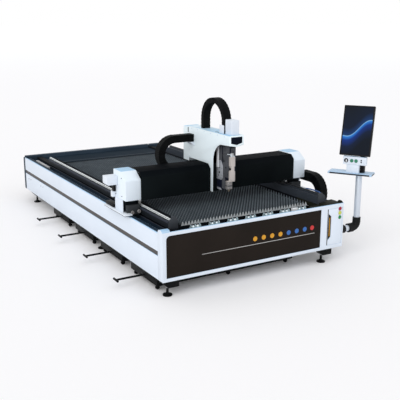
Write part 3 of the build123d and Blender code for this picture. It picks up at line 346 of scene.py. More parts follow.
def fit(piece, body, paint, slotName, *nodes):
    piece.data.materials.clear()
    piece.data.materials.append(paints[paint])
    if paint in skyPaintedFinishes:
        markPaintedSky(piece)
    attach(piece, body)
    if nodes:
        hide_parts(*nodes)
    return piece


def addBox(shape, low, high):
    made = bmesh.ops.create_cube(shape, size=1)["verts"]
    size = high - low
    middle = (high + low) / 2
    for vert in made:
        vert.co = Vector((vert.co.x * size.x, vert.co.y * size.y, vert.co.z * size.z)) + middle


def boxPiece(name, body, paint, slotName, boxes, width, segments=2):
    shape = bmesh.new()
    for low, high in boxes:
        addBox(shape, at(*low), at(*high))
    fit(soften(keepMesh(name, shape), width, segments), body, paint, slotName)


def addPrism(shape, outline, away):
    first = [shape.verts.new(point) for point in outline]
    last = [shape.verts.new(point + away) for point in outline]
    shape.faces.new(first)
    shape.faces.new(list(reversed(last)))
    count = len(outline)
    for index in range(count):
        after = (index + 1) % count
        shape.faces.new((first[index], last[index], last[after], first[after]))


def addLathe(shape, profile, base, axis, sides):
    turn = axis.normalized().to_track_quat("Z", "Y").to_matrix().to_4x4()
    rings = []
    for radius, rise in profile:
        ring = []
        if radius == 0:  # a point on the axis
            ring = [shape.verts.new(base + turn @ Vector((0, 0, rise)))]
        else:
            for side in range(sides):
                angle = 2 * math.pi * side / sides
                spot = Vector((radius * math.cos(angle), radius * math.sin(angle), rise))
                ring.append(shape.verts.new(base + turn @ spot))
        rings.append(ring)
    for below, above in zip(rings, rings[1:]):
        for side in range(sides):
            after = (side + 1) % sides
            if len(below) == 1 and len(above) > 1:
                shape.faces.new((below[0], above[side], above[after]))
            elif len(above) == 1 and len(below) > 1:
                shape.faces.new((below[side], below[after], above[0]))
            elif len(below) > 1:
                shape.faces.new((below[side], below[after], above[after], above[side]))
    for ring in (rings[0], rings[-1]):
        if len(ring) > 1:
            shape.faces.new(ring)


def turnedPiece(name, body, paint, slotName, profile, spots, axis, sides, smoothAngle=plainAngle):
    shape = bmesh.new()
    for spot in spots:
        addLathe(shape, profile, spot, axis, sides)
    return fit(keepMesh(name, shape, smoothAngle), body, paint, slotName)


def addTube(shape, points, radius, sides=8):
    rings = []
    guide = Vector((0.3, 0.2, 0.93))
    for index, point in enumerate(points):
        before = points[max(index - 1, 0)]
        after = points[min(index + 1, len(points) - 1)]
        along = (after - before).normalized()
        across = along.cross(guide).normalized()
        up = across.cross(along)
        ring = []
        for side in range(sides):
            angle = 2 * math.pi * side / sides
            ring.append(shape.verts.new(point + (across * math.cos(angle) + up * math.sin(angle)) * radius))
        rings.append(ring)
    for first, last in zip(rings, rings[1:]):
        for side in range(sides):
            after = (side + 1) % sides
            shape.faces.new((first[side], first[after], last[after], last[side]))
    shape.faces.new(rings[0])
    shape.faces.new(rings[-1])


def smoothPath(points, steps):
    path = []
    ends = [points[0] * 2 - points[1]] + list(points) + [points[-1] * 2 - points[-2]]
    for index in range(1, len(ends) - 2):
        a, b, c, d = ends[index - 1], ends[index], ends[index + 1], ends[index + 2]
        for step in range(steps):
            t = step / steps
            path.append(0.5 * (2 * b + (c - a) * t + (2 * a - 5 * b + 4 * c - d) * t * t
                               + (3 * b - a - 3 * c + d) * t ** 3))
    path.append(points[-1])
    return path


# repeat trees: a grid of copies, and copies along a path
def growTree(name, inputs):
    tree = bpy.data.node_groups.new(name, "GeometryNodeTree")
    tree.interface.new_socket("Geometry", in_out="OUTPUT", socket_type="NodeSocketGeometry")
    for label, kind in {"Shape": "Object", "Finish": "Material", **inputs}.items():
        tree.interface.new_socket(label, in_out="INPUT", socket_type="NodeSocket" + kind)
    given = node(tree, "NodeGroupInput")
    unit = node(tree, "GeometryNodeObjectInfo")
    copies = node(tree, "GeometryNodeInstanceOnPoints")
    solid = node(tree, "GeometryNodeRealizeInstances")
    painted = node(tree, "GeometryNodeSetMaterial")
    join(given, "Shape", unit, "Object")
    join(unit, "Geometry", copies, "Instance")
    join(copies, "Instances", solid, "Geometry")
    join(solid, "Geometry", painted, "Geometry")
    join(given, "Finish", painted, "Material")
    join(painted, "Geometry", node(tree, "NodeGroupOutput"), "Geometry")
    return tree, given, copies


def gridTree():
    tree, given, copies = growTree("gridOfShape", {"Columns": "Int", "Rows": "Int", "Start": "Vector",
                                                   "ColumnStep": "Vector", "RowStep": "Vector"})
    columns = node(tree, "GeometryNodeMeshLine", mode="OFFSET")
    rows = node(tree, "GeometryNodeMeshLine", mode="OFFSET")
    join(given, "Columns", columns, "Count")
    join(given, "Start", columns, "Start Location")
    join(given, "ColumnStep", columns, "Offset")
    join(given, "Rows", rows, "Count")
    join(given, "RowStep", rows, "Offset")
    spots = node(tree, "GeometryNodeInstanceOnPoints")
    join(columns, "Mesh", spots, "Points")
    join(rows, "Mesh", spots, "Instance")
    laid = node(tree, "GeometryNodeRealizeInstances")
    join(spots, "Instances", laid, "Geometry")
    join(laid, "Geometry", copies, "Points")
    return tree


def arcTree():
    tree, given, copies = growTree("linksOnArc", {"Path": "Object", "Count": "Int"})
    route = node(tree, "GeometryNodeObjectInfo")
    join(given, "Path", route, "Object")
    curve = node(tree, "GeometryNodeMeshToCurve")
    join(route, "Geometry", curve, "Mesh")
    spots = node(tree, "GeometryNodeResampleCurve")
    join(curve, "Curve", spots, "Curve")
    join(given, "Count", spots, "Count")
    tangent = node(tree, "GeometryNodeInputTangent")
    lead = node(tree, "FunctionNodeAlignRotationToVector", axis="X", pivot_axis="Y")
    join(tangent, "Tangent", lead, "Vector")
    join(spots, "Curve", copies, "Points")
    join(lead, "Rotation", copies, "Rotation")
    return tree


trees = {"grid": gridTree(), "arc": arcTree()}
templates = []


def grow(name, kind, values):
    made = addObject(name, bpy.data.meshes.new(name))
    growth = made.modifiers.new("repeat", "NODES")
    growth.node_group = trees[kind]
    for socket in trees[kind].interface.items_tree:
        if socket.in_out == "INPUT":
            growth[socket.identifier] = values[socket.name]
    settle(made)
    smooth(made, plainAngle)
    return made


def template(name, shape, turn=Matrix.Identity(4)):
    shape.transform(turn)
    made = keepMesh(name, shape)
    made.hide_render = True
    templates.append(made)
    return made


def gridPiece(name, unit, columns, rows, start, columnStep, rowStep, paint):
    return grow(name, "grid", {"Shape": unit, "Columns": columns, "Rows": rows, "Start": start,
                               "ColumnStep": columnStep, "RowStep": rowStep, "Finish": paints[paint]})


# CAD nodes whose shape is right, with rounded edges and their finish
dressed = [
    ("bedFrame", "bed", "framePaint", "frame_paint", 3, "bed_frame"),
    ("trimStrips", "bed", "trimGrey", "trim_grey", 1.2, "trim_strips"),
    ("frontFrame", "bed", "whitePaint", "white_paint", 2, "front_frame"),
    ("frontPanel", "bed", "panelBlack", "panel_black", 0.8, "front_panel"),
    ("rearWall", "bed", "navyPaint", "navy_paint", 2, "rear_wall"),
    ("slatCombs", "bed", "framePaint", "frame_paint", 1, "slat_combs"),
    ("gutters", "bed", "gutterNavy", "navy_paint", 1, "gutters"),
    ("ballBlocks", "bed", "tealZinc", "zinc_plate", 2.5, "ball_blocks"),
    ("loadingBalls", "bed", "ballChrome", "ball_chrome", 0, "loading_balls"),
    ("footBrackets", "bed", "blackPaint", "black_paint", 2, "foot_brackets"),
    ("levellingFeet", "bed", "blackPaint", "black_paint", 2, "levelling_feet"),
    ("cabinetShell", "bed", "oliveDark", "frame_paint", 1.5, "cabinet_shell"),
    ("cabinetBackplate", "bed", "zincPlate", "zinc_plate", 0.8, "cabinet_backplate"),
    ("driveUnits", "bed", "unitPlastic", "unit_plastic", 3, "drive_units"),
    ("armElbow", "bed", "blackPlastic", "black_plastic", 2.5, "arm_elbow"),
    ("armSleeve", "bed", "silverTube", "silver_tube", 1.5, "arm_sleeve"),
    ("pendantColumn", "bed", "silverTube", "silver_tube", 1.5, "pendant_column"),
    ("chainTrough", "bed", "framePaint", "frame_paint", 1, "y_chain_tray"),
    ("cabinetDoor", "door", "whitePaint", "white_paint", 1.5, "cabinet_door"),
    ("doorHandle", "door", "blackPlastic", "black_plastic", 1.5, "door_handle"),
    ("keyboardTray", "pendant", "trayBlue", "tray_blue", 1.5, "keyboard_tray"),
    ("pendantNeck", "pendant", "whitePaint", "white_paint", 4, "pendant_neck"),
    ("controlBox", "pendant", "whitePaint", "white_paint", 0.8, "control_box"),
    ("monitorHousing", "pendant", "blackPlastic", "black_plastic", 1.5, "monitor_housing"),
    ("startButton", "start", "greenPlastic", "green_plastic", 1.2, "start_button"),
    ("pauseButton", "pause", "greenPlastic", "green_plastic", 1.2, "pause_button"),
    ("selectorKnob", "selector", "blackPlastic", "black_plastic", 1.2, "selector_knob"),
    ("gantryBeam", "gantry", "framePaint", "beam_paint", 3, "gantry_beam"),
    ("beamCover", "gantry", "beamPaint", "beam_paint", 2, "beam_cover"),
    # end covers in a brighter copy of the white paint: painted light
    ("endCovers", "gantry", "coverPaint", "white_paint", 4, "end_covers"),
    ("bearingBlocks", "gantry", "brightSteel", "bright_steel", 1.5, "bearing_blocks"),
    ("driveMotor", "gantry", "plainWhite", "white_paint", 5, "drive_motor"),
    ("beamRails", "gantry", "brightSteel", "bright_steel", 1, "x_rails"),
    ("beamChainTray", "gantry", "framePaint", "frame_paint", 1, "x_chain_tray"),
    ("carriagePlate", "carriage", "beamPaint", "beam_paint", 2, "carriage_plate"),
    ("motorCover", "carriage", "plainWhite", "white_paint", 1.5, "z_motor_cover"),
    ("headSlide", "head", "slideDark", "slide_grey", 2, "z_slide"),
    ("nozzleTip", "head", "nozzleBrass", "nozzle_brass", 0.8, "nozzle"),
]
for index in range(1, 5):
    dressed.append((f"scrapTrolley{index}", f"cart_{index}", "blackPaint", "black_paint", 1.2,
                    f"trolley_{index}"))
for name, body, paint, slotName, width, cadNode in dressed:
    piece = cadCopy(name, cadNode)
    if width:
        soften(piece, width)
    fit(piece, body, paint, slotName, cadNode)
print("dressed CAD nodes:", len(dressed))


def splitOff(piece, name, wanted):
    kept = bmesh.new()
    kept.from_mesh(piece.data)
    taken = kept.copy()
    marks = [wanted(face.calc_center_median(), face.normal.copy()) for face in kept.faces]
    for part, dropped in ((kept, True), (taken, False)):
        faces = [face for face, mark in zip(list(part.faces), marks) if mark == dropped]
        bmesh.ops.delete(part, geom=faces, context="FACES")
    kept.to_mesh(piece.data)
    kept.free()
    made = addObject(name, bakeMesh(name, taken))
    for part in (piece, made):
        smooth(part, softenSet["smoothAngle"])
    return made


# CAD nodes shown in more than one finish
deckSet = {"flat": 0.6}
deck = soften(cadCopy("rearDeck", "rear_deck"), 1.5)
deckSides = splitOff(deck, "deckSides", lambda centre, normal: normal.z < deckSet["flat"])
# the deck's flat top in the darker navy copy, its sides in the plain navy: painted shade
fit(deck, "bed", "deckNavyShadedCopy", "navy_paint", "rear_deck")
fit(deckSides, "bed", "navyPaint", "navy_paint")
panelSet = {"flat": 0.95, "high": 668}


def onLedge(centre, normal):
    return normal.z > panelSet["flat"] and centre.z > panelSet["high"] * mm


for name, cadNode in (("leftPanel", "left_panel"), ("rightPanel", "right_panel")):
    panel = soften(cadCopy(name, cadNode), 2)
    ledge = splitOff(panel, name + "Ledge", onLedge)
    fit(panel, "bed", "whitePaint", "white_paint", cadNode)
    fit(ledge, "bed", "gutterNavy", "navy_paint")
beamSet = {"plateBack": 172, "middle": 1175, "step": (176, 184), "ledge": 766, "drop": 53}
beams = cadCopy("railBeams", "rail_beams")
shape = bmesh.new()
shape.from_mesh(beams.data)
for cut in beamSet["step"]:
    bmesh.ops.bisect_plane(shape, geom=shape.verts[:] + shape.edges[:] + shape.faces[:],
                           plane_co=at(0, cut, 0), plane_no=Vector((0, 1, 0)))
for vert in shape.verts:  # inner block behind the end plates sits below the guide rail
    if vert.co.z > beamSet["ledge"] * mm and vert.co.y > at(0, sum(beamSet["step"]) / 2, 0).y:
        vert.co.z -= beamSet["drop"] * mm
bmesh.ops.recalc_face_normals(shape, faces=shape.faces)
shape.to_mesh(beams.data)
shape.free()
soften(beams, 2)
plates = splitOff(beams, "beamEndPlates", lambda centre, normal: centre.y < at(0, beamSet["plateBack"], 0).y)
farBeam = splitOff(beams, "farRailBeam", lambda centre, normal: centre.x > at(beamSet["middle"], 0, 0).x)
fit(beams, "bed", "beamSlate", "beam_paint", "rail_beams")
# the far beam in a lighter copy of the beam paint: painted light
fit(farBeam, "bed", "beamSlateLitCopy", "beam_paint")
fit(plates, "bed", "plateSlate", "beam_paint")
legCut = {"baseTop": 703.5}
legs = soften(cadCopy("gantryLegs", "gantry_legs"), 2)
bases = splitOff(legs, "legBases", lambda centre, normal: centre.z < legCut["baseTop"] * mm)
fit(legs, "gantry", "whitePaint", "white_paint", "gantry_legs")
fit(bases, "gantry", "plainWhite", "white_paint")
hoodCut = {"nose": 378, "facing": -0.9, "lift": 0.0006, "reach": 0.7}
hood = soften(cadCopy("carriageHood", "carriage_cover"), 2)
shape = bmesh.new()
shape.from_mesh(hood.data)
hoodRays = BVHTree.FromBMesh(shape)
shape.free()


def shadedHoodFace(centre, normal):  # painted shade: inner faces, which look at another face of the hood, take a dark grey
    outside = normal.y < hoodCut["facing"] and centre.y < at(0, hoodCut["nose"], 0).y
    struck = hoodRays.ray_cast(centre + normal * hoodCut["lift"], normal, hoodCut["reach"])[0]
    return not outside and struck is not None


hoodShadeFaces = splitOff(hood, "hoodLining", shadedHoodFace)
# the hood in a brighter copy of the white paint: painted light
fit(hood, "carriage", "hoodWhiteLitCopy", "white_paint", "carriage_cover")
fit(hoodShadeFaces, "carriage", "hoodShadeGrey", "frame_paint")
headCut = {"neck": 1279, "lens": 1000}
cutter = soften(cadCopy("laserHead", "laser_head"), 2)
neck = splitOff(cutter, "headNeck", lambda centre, normal: centre.z > headCut["neck"] * mm)
lensBlock = splitOff(cutter, "lensBlock", lambda centre, normal: centre.z < headCut["lens"] * mm)
fit(cutter, "head", "headTaupe", "head_taupe", "laser_head")
fit(neck, "head", "zincPlate", "zinc_plate")
fit(lensBlock, "head", "lensGrey", "slide_grey")
print("deck, panels, beams, legs, hood and head split by finish")


# status lamps: domed lenses in bright rings
lampSet = {"x": 2291, "heights": (633, 582, 531), "paints": ("lampRed", "lampYellow", "lampGreen"),
           "sides": 28, "domeAngle": 50, "lens": [(22.8, 0), (22.6, 4), (19.5, 6.6), (12, 8.2), (0, 8.8)],
           "ring": [(22.9, 0), (24.2, 0), (24.2, 3), (23.6, 4.2), (22.9, 4.2)]}
for index, (height, paint) in enumerate(zip(lampSet["heights"], lampSet["paints"])):
    base = [at(lampSet["x"], 0, height)]
    lens = turnedPiece(f"lampLens{index + 1}", "door", paint, "lamp_plastic", scaled(lampSet["lens"]), base,
                       forward, lampSet["sides"], lampSet["domeAngle"])
    turnedPiece(f"lampRing{index + 1}", "door", "brightSteel", "bright_steel", scaled(lampSet["ring"]), base,
                forward, lampSet["sides"])
    if index == 0:
        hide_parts("status_lamps")
print("lamps made")


# slat table: toothed steel slats, painted darker towards their feet as painted shade
slatTable = {"left": 386, "right": 2066, "front": 318, "back": 4046, "low": 550, "top": 670, "tooth": 42,
             "thick": 4, "slats": 72, "teeth": 44, "tip": 2.5, "foot": 2,
             "darkPlate": (((382, 309, 550), (2070, 316, 624)),),
             "edge": (((2065, 318, 614), (2070, 4046, 630)), ((2006, 294, 626), (2068, 316, 632)))}
slatWide = slatTable["right"] - slatTable["left"]
toothPitch = slatWide / slatTable["teeth"]
slatPitch = (slatTable["back"] - slatTable["front"] - slatTable["thick"]) / (slatTable["slats"] - 1)
valley = slatTable["top"] - slatTable["tooth"]
toothMiddle = toothPitch / 2
toothOutline = ((0, 0), (toothPitch, 0), (toothPitch, slatTable["foot"]),
                (toothMiddle + slatTable["tip"], slatTable["tooth"]),
                (toothMiddle - slatTable["tip"], slatTable["tooth"]), (0, slatTable["foot"]))
shape = bmesh.new()
addPrism(shape, [shift(x, 0, z) for x, z in toothOutline], shift(0, slatTable["thick"], 0))
toothUnit = template("toothUnit", shape)
shape = bmesh.new()
addBox(shape, origin, shift(slatWide, slatTable["thick"], valley - slatTable["low"]))
slatUnit = template("slatUnit", shape)
acrossStep, slatStep = shift(toothPitch, 0, 0), shift(0, slatPitch, 0)
slatBodies = gridPiece("slatBodies", slatUnit, 1, slatTable["slats"],
                       at(slatTable["left"], slatTable["front"], slatTable["low"]), origin, slatStep,
                       "slatSteelShadedCopy")
fit(slatBodies, "bed", "slatSteelShadedCopy", "slat_steel", "slats")
slatTeeth = gridPiece("slatTeeth", toothUnit, slatTable["teeth"], slatTable["slats"] - 1,
                      at(slatTable["left"], slatTable["front"] + slatPitch, valley), acrossStep, slatStep,
                      "toothSteel")
fit(slatTeeth, "bed", "toothSteel", "slat_steel")
# the front slat's teeth take the painted highlight
frontTeeth = gridPiece("frontTeeth", toothUnit, slatTable["teeth"], 1,
                       at(slatTable["left"], slatTable["front"], valley), acrossStep, origin, "toothPaintedHighlight")
fit(frontTeeth, "bed", "toothPaintedHighlight", "slat_steel")
# a dark plate over the front slat's face below its teeth
boxPiece("channelPlate", "bed", "framePaint", "frame_paint", slatTable["darkPlate"], 1, 1)
# a pale strip along the right ends of the slats: painted highlight standing for their lit tooth ends
boxPiece("slatEdge", "bed", "zincPlate", "slat_steel", slatTable["edge"], 0.8, 1)
print("slats made:", slatTable["slats"])


# drag chains: stepped links, and two runs and a bend for the long ones
chainPitch = 38
quarter = Matrix.Rotation(math.pi / 2, 4, "Z")
linkSet = {"nick": 0.07,  # plates as back, ahead, narrower, half height
           "plates": ((-0.98, 0.22, 0, 0.5), (0.1, 1.35, 4, 0.482))}
yChain = {"x": 2439, "width": 102, "deeper": 36, "thick": 75, "y": 687, "z": 678, "radius": 195,
          "attach": 870, "fixed": 2800}
xChain = {"y": 1187, "width": 100, "deeper": 26, "thick": 58, "x": 760, "z": 1226, "radius": 185,
          "attach": 1012, "fixed": 1200}
zChain = {"x": 1106, "width": 94, "thick": 54, "front": 582, "rear": 1030, "z": 1640, "low": 1396,
          "foot": 1520}
arcSteps = 48


def linkShape(chain, deeper=0):
    shape = bmesh.new()
    nick = chainPitch * linkSet["nick"]
    for backShare, aheadShare, narrower, half in linkSet["plates"]:
        back, ahead = backShare * chainPitch / 2, aheadShare * chainPitch / 2
        under, over = -half * chain["thick"] - deeper, half * chain["thick"]
        across = chain["width"] - narrower
        outline = ((back, under + nick), (back + nick, under), (ahead - nick, under), (ahead, under + nick),
                   (ahead, over - nick), (ahead - nick, over), (back + nick, over), (back, over - nick))
        addPrism(shape, [shift(u, -across / 2, w) for u, w in outline], shift(0, across, 0))
    return shape


def edgePath(name, spots):
    shape = bmesh.new()
    verts = [shape.verts.new(spot) for spot in spots]
    for one, two in zip(verts, verts[1:]):
        shape.edges.new((one, two))
    made = addObject(name, bakeMesh(name, shape))
    made.hide_render = True
    templates.append(made)
    return made


def arcSpots(middle, radius, first, last, along):
    spots = []
    for step in range(arcSteps + 1):
        angle = first + (last - first) * step / arcSteps
        spots.append(middle + (along * math.cos(angle) + upwards * math.sin(angle)) * radius * mm)
    return spots


def straightLinks(name, unit, start, end):
    count = max(1, round((end - start).length / (chainPitch * mm)))
    step = (end - start) / count
    return gridPiece(name, unit, count, 1, start + step / 2, step, origin, "chainPlastic")


def pathLinks(name, unit, path, count):
    return grow(name, "arc", {"Shape": unit, "Path": path, "Count": count, "Finish": paints["chainPlastic"]})


def bendLinks(name, chain, unit, along):
    first, last = -math.pi / 2, -math.pi * 1.5
    count = round(abs(last - first) * chain["radius"] / chainPitch)
    step = (last - first) / count
    middle = at(chain["x"], chain["y"], chain["z"])
    spots = arcSpots(middle, chain["radius"], first + step / 2, last - step / 2, along)
    return pathLinks(name, unit, edgePath(name + "Path", spots), count)


def turnTree(axis, pivot):
    for part in trees["arc"].nodes:
        if part.bl_idname == "FunctionNodeAlignRotationToVector":
            part.axis = axis
            part.pivot_axis = pivot


linkY = template("linkY", linkShape(yChain, yChain["deeper"]), quarter)
linkX = template("linkX", linkShape(xChain, xChain["deeper"]))
flatY = template("flatY", linkShape(yChain), quarter)
flatX = template("flatX", linkShape(xChain))
linkZ = template("linkZ", linkShape(zChain), quarter)
x, high, low = yChain["x"], yChain["z"] + yChain["radius"], yChain["z"] - yChain["radius"]
lead = straightLinks("sideChainLead", linkY, at(x, yChain["y"], high), at(x, yChain["attach"], high))
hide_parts("y_chain_lead")
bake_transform(lead)
run = straightLinks("sideChainRun", flatY, at(x, yChain["y"], low), at(x, yChain["fixed"], low))
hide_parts("y_chain_run")
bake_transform(run)
turnTree("Y", "X")
bend = bendLinks("sideChainBend", yChain, linkY, -forward)
fit(bend, "y_bend", "chainPlastic", "chain_plastic", "y_chain_bend")
turnTree("X", "Y")
bend = bendLinks("beamChainBend", xChain, linkX, rightward)
fit(bend, "x_bend", "chainPlastic", "chain_plastic", "x_chain_bend")
y, high, low = xChain["y"], xChain["z"] + xChain["radius"], xChain["z"] - xChain["radius"]
lead = straightLinks("beamChainLead", linkX, at(xChain["x"], y, high), at(xChain["attach"], y, high))
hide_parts("x_chain_lead")
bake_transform(lead)
run = straightLinks("beamChainRun", flatX, at(xChain["x"], y, low), at(xChain["fixed"], y, low))
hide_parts("x_chain_run")
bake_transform(run)
radius = (zChain["rear"] - zChain["front"]) / 2
middle = at(zChain["x"], (zChain["rear"] + zChain["front"]) / 2, zChain["z"])
frontDrop = zChain["z"] - zChain["low"] - chainPitch / 2
rearDrop = zChain["z"] - zChain["foot"] - chainPitch / 2
spots = [middle + shift(0, -radius, -frontDrop), *arcSpots(middle, radius, math.pi, 0, -forward),
         middle + shift(0, radius, -rearDrop)]
turnTree("Y", "X")
count = round((math.pi * radius + frontDrop + rearDrop) / chainPitch) + 1
headChain = pathLinks("headChain", linkZ, edgePath("headChainPath", spots), count)
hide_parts("z_chain")
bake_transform(headChain)
print("chains made")


# screen: dark glass with a blue streak
screenSet = {"width": 323, "height": 548, "sink": 2.2, "x": -48, "z": 1493.9, "tilt": 14, "thick": 45,
             "columns": 6, "rows": 10, "pace": 5.6, "swing": 0.075, "lean": -0.30,
             "base": (0.002, 0.003, 0.005), "glow": 0.8, "rough": 0.5, "specular": 0.08,
             "ends": ((0.004, 0.007, 0.014), (0.0055, 0.0085, 0.015)),
             "stops": ((0.16, (0.006, 0.014, 0.045)), (0.30, (0.008, 0.040, 0.26)),
                       (0.37, (0.030, 0.24, 0.80)), (0.385, (0.30, 0.62, 0.95)),
                       (0.40, (0.010, 0.045, 0.16)), (0.55, (0.005, 0.011, 0.030)))}
tiltTurn = Matrix.Rotation(math.radians(-screenSet["tilt"]), 4, "X")


def atScreen(u, w, depth=0):
    local = tiltTurn @ Vector((u, -screenSet["thick"] / 2 + screenSet["sink"] + depth, w))
    return atPendant(screenSet["x"] + local.x, local.y, screenSet["z"] + local.z)


def screenMaterial():
    material, tree, shader = newMaterial("screenGlass")
    spread = node(tree, "ShaderNodeUVMap", uv_map="screenMap")
    split = node(tree, "ShaderNodeSeparateXYZ")
    join(spread, "UV", split, "Vector")
    pace = node(tree, "ShaderNodeMath", {1: screenSet["pace"]}, operation="MULTIPLY")
    join(split, "X", pace, 0)
    wave = node(tree, "ShaderNodeMath", operation="SINE")
    join(pace, "Value", wave, 0)
    swing = node(tree, "ShaderNodeMath", {1: screenSet["swing"]}, operation="MULTIPLY_ADD")
    join(wave, "Value", swing, 0)
    join(split, "Y", swing, 2)
    lean = node(tree, "ShaderNodeMath", {1: screenSet["lean"]}, operation="MULTIPLY_ADD")
    join(split, "X", lean, 0)
    join(swing, "Value", lean, 2)
    ramp = node(tree, "ShaderNodeValToRGB")
    stops = ramp.color_ramp.elements
    for stop, shade in zip(stops, screenSet["ends"]):
        stop.color = (*shade, 1)
    for place, shade in screenSet["stops"]:
        stops.new(place).color = (*shade, 1)
    join(lean, "Value", ramp, "Fac")
    join(ramp, "Color", shader, "Emission Color")
    adjust(shader, {"Base Color": (*screenSet["base"], 1), "Emission Strength": screenSet["glow"],
                    "Roughness": screenSet["rough"], "Specular IOR Level": screenSet["specular"]})
    return material


paints["screenGlass"] = screenMaterial()
shape = bmesh.new()
screenMap = shape.loops.layers.uv.new("screenMap")
columns, rows = screenSet["columns"], screenSet["rows"]
grid = []
for row in range(rows + 1):
    for column in range(columns + 1):
        u = (column / columns - 0.5) * screenSet["width"]
        w = (row / rows - 0.5) * screenSet["height"]
        grid.append(shape.verts.new(atScreen(u, w)))
for row in range(rows):
    for column in range(columns):
        first = row * (columns + 1) + column
        above = first + columns + 1
        face = shape.faces.new((grid[first], grid[first + 1], grid[above + 1], grid[above]))
        spotsUv = ((column, row), (column + 1, row), (column + 1, row + 1), (column, row + 1))
        for loop, (a, b) in zip(face.loops, spotsUv):
            loop[screenMap].uv = (a / columns, b / rows)
fit(keepMesh("screenGlass", shape), "pendant", "screenGlass", "screen_gloss", "screen_panel")
print("screen made")


# small repeated fixings
def screwShape(radius, height):
    shape = bmesh.new()
    profile = [(radius, 0), (radius, height * 0.7), (radius * 0.86, height), (radius * 0.5, height),
               (radius * 0.46, height * 0.45), (0, height * 0.45)]
    addLathe(shape, scaled(profile), origin, upwards, 10)
    return shape


screwSet = {"up": (4.5, 4), "front": (5, 3.5), "left": (6, 4), "back": (7, 4)}  # radius, height
screwUp = template("screwUp", screwShape(*screwSet["up"]))
screwFront = template("screwFront", screwShape(*screwSet["front"]), Matrix.Rotation(math.pi / 2, 4, "X"))
screwLeft = template("screwLeft", screwShape(*screwSet["left"]), Matrix.Rotation(-math.pi / 2, 4, "Y"))
screwBack = template("screwBack", screwShape(*screwSet["back"]), Matrix.Rotation(-math.pi / 2, 4, "X"))


def merge(name, *parts):
    shape = bmesh.new()
    for part in parts:
        shape.from_mesh(part.data)
        bpy.data.objects.remove(part, do_unlink=True)
    return keepMesh(name, shape, softenSet["smoothAngle"])


def mirrorX(x, mirrored):  # the right-hand twin of a place on the left side
    return railSet["mirror"] - x if mirrored else x


def bothSides(shape, low, high, mirrored):
    if mirrored:
        low, high = (mirrorX(high[0], 1), *low[1:]), (mirrorX(low[0], 1), *high[1:])
    addBox(shape, at(*low), at(*high))


# guide rails with screws, and racks with teeth
railSet = {"left": 166, "right": 184, "low": 764, "top": 777, "start": 167, "end": 3948, "parts": 3, "gap": 3,
           "mirror": 2350, "groove": 3, "grooveFlat": 1, "grooveDeep": 2.5, "edge": 1}
faceSet = {"strips": ((167.4, 172.2), (177.8, 182.6)), "inset": 1, "sink": 0.5, "proud": 0.4,
           "groove": ((165.7, 168, 768.4), (168.6, 3944, 772.6)),
           "ledge": ((160.3, 167, 763.5), (164.8, 3948, 764.6))}
railScrewSet = {"x": 175, "first": 197, "sink": 3.2, "pitch": 60, "count": 63}
rackSet = {"left": 148, "right": 160, "low": 729, "top": 749, "pitch": 14.0, "tooth": 7, "toothLong": 12,
           "rootShare": 0.4, "tipShare": 0.16}
partLength = (railSet["end"] - railSet["start"]) / railSet["parts"]
rails = []
for side in (0, 1):
    shape = bmesh.new()
    x0, x1 = sorted((mirrorX(railSet["left"], side), mirrorX(railSet["right"], side)))
    low, top, edge = railSet["low"], railSet["top"], railSet["edge"]
    groove, flat, deep = railSet["groove"], railSet["grooveFlat"], railSet["grooveDeep"]
    mid = (low + top) / 2
    profile = ((x0, low), (x1, low), (x1, mid - groove), (x1 - deep, mid - flat), (x1 - deep, mid + flat),
               (x1, mid + groove), (x1, top - edge), (x1 - edge, top), (x0 + edge, top), (x0, top - edge),
               (x0, mid + groove), (x0 + deep, mid + flat), (x0 + deep, mid - flat), (x0, mid - groove))
    for part in range(railSet["parts"]):
        y0 = railSet["start"] + partLength * part
        addPrism(shape, [at(x, y0, z) for x, z in profile], shift(0, partLength - railSet["gap"], 0))
    rails.append(keepMesh(("guideRail", "farGuideRail")[side], shape))
# the near rail in the painted highlight, the far rail as a dark copy in the rack steel: painted light and
# shade on one kind of rail
fit(rails[0], "bed", "railWhite", "bright_steel", "guide_rails")
fit(rails[1], "bed", "rackSteel", "bright_steel")
shape = bmesh.new()
for left, right in faceSet["strips"]:
    for part in range(railSet["parts"]):
        y0 = railSet["start"] + partLength * part + faceSet["inset"]
        y1 = railSet["start"] + partLength * (part + 1) - railSet["gap"] - faceSet["inset"]
        bothSides(shape, (left, y0, railSet["top"] - faceSet["sink"]),
                  (right, y1, railSet["top"] + faceSet["proud"]), 1)
fit(keepMesh("railFaces", shape), "bed", "plateSlate", "bright_steel")
# a dark fill in the near rail's groove is painted shade; a pale strip on the ledge beside the rail is a
# painted highlight
for name, paint, key in (("railGroove", "plateSlate", "groove"), ("ledgeStripe", "railWhite", "ledge")):
    shape = bmesh.new()
    bothSides(shape, *faceSet[key], 0)
    fit(keepMesh(name, shape), "bed", paint, "bright_steel")
railScrews = []
for side in (0, 1):
    x = mirrorX(railScrewSet["x"], side)
    start = at(x, railScrewSet["first"], railSet["top"] - railScrewSet["sink"])
    railScrews.append(gridPiece(f"railScrews{x}", screwUp, 1, railScrewSet["count"], start, origin,
                                shift(0, railScrewSet["pitch"], 0), "rackSteel"))
fit(merge("railScrews", *railScrews), "bed", "rackSteel", "bright_steel")
shape = bmesh.new()
root = rackSet["pitch"] * rackSet["rootShare"]
tip = rackSet["pitch"] * rackSet["tipShare"]
drop = -rackSet["tooth"]
toothOutline = ((-root, 0), (root, 0), (tip, drop), (-tip, drop))
addPrism(shape, [shift(x, 0, z) for x, z in toothOutline], shift(0, rackSet["toothLong"], 0))
rackTooth = template("rackTooth", shape, quarter)
racks = []
for x in (rackSet["right"], railSet["mirror"] - rackSet["left"]):
    count = int((railSet["end"] - railSet["start"]) / rackSet["pitch"])
    start = at(x, railSet["start"] + rackSet["pitch"] / 2, rackSet["low"] + rackSet["tooth"])
    racks.append(gridPiece(f"rackTeeth{x}", rackTooth, 1, count, start, origin,
                           shift(0, rackSet["pitch"], 0), "rackSteel"))
shape = bmesh.new()
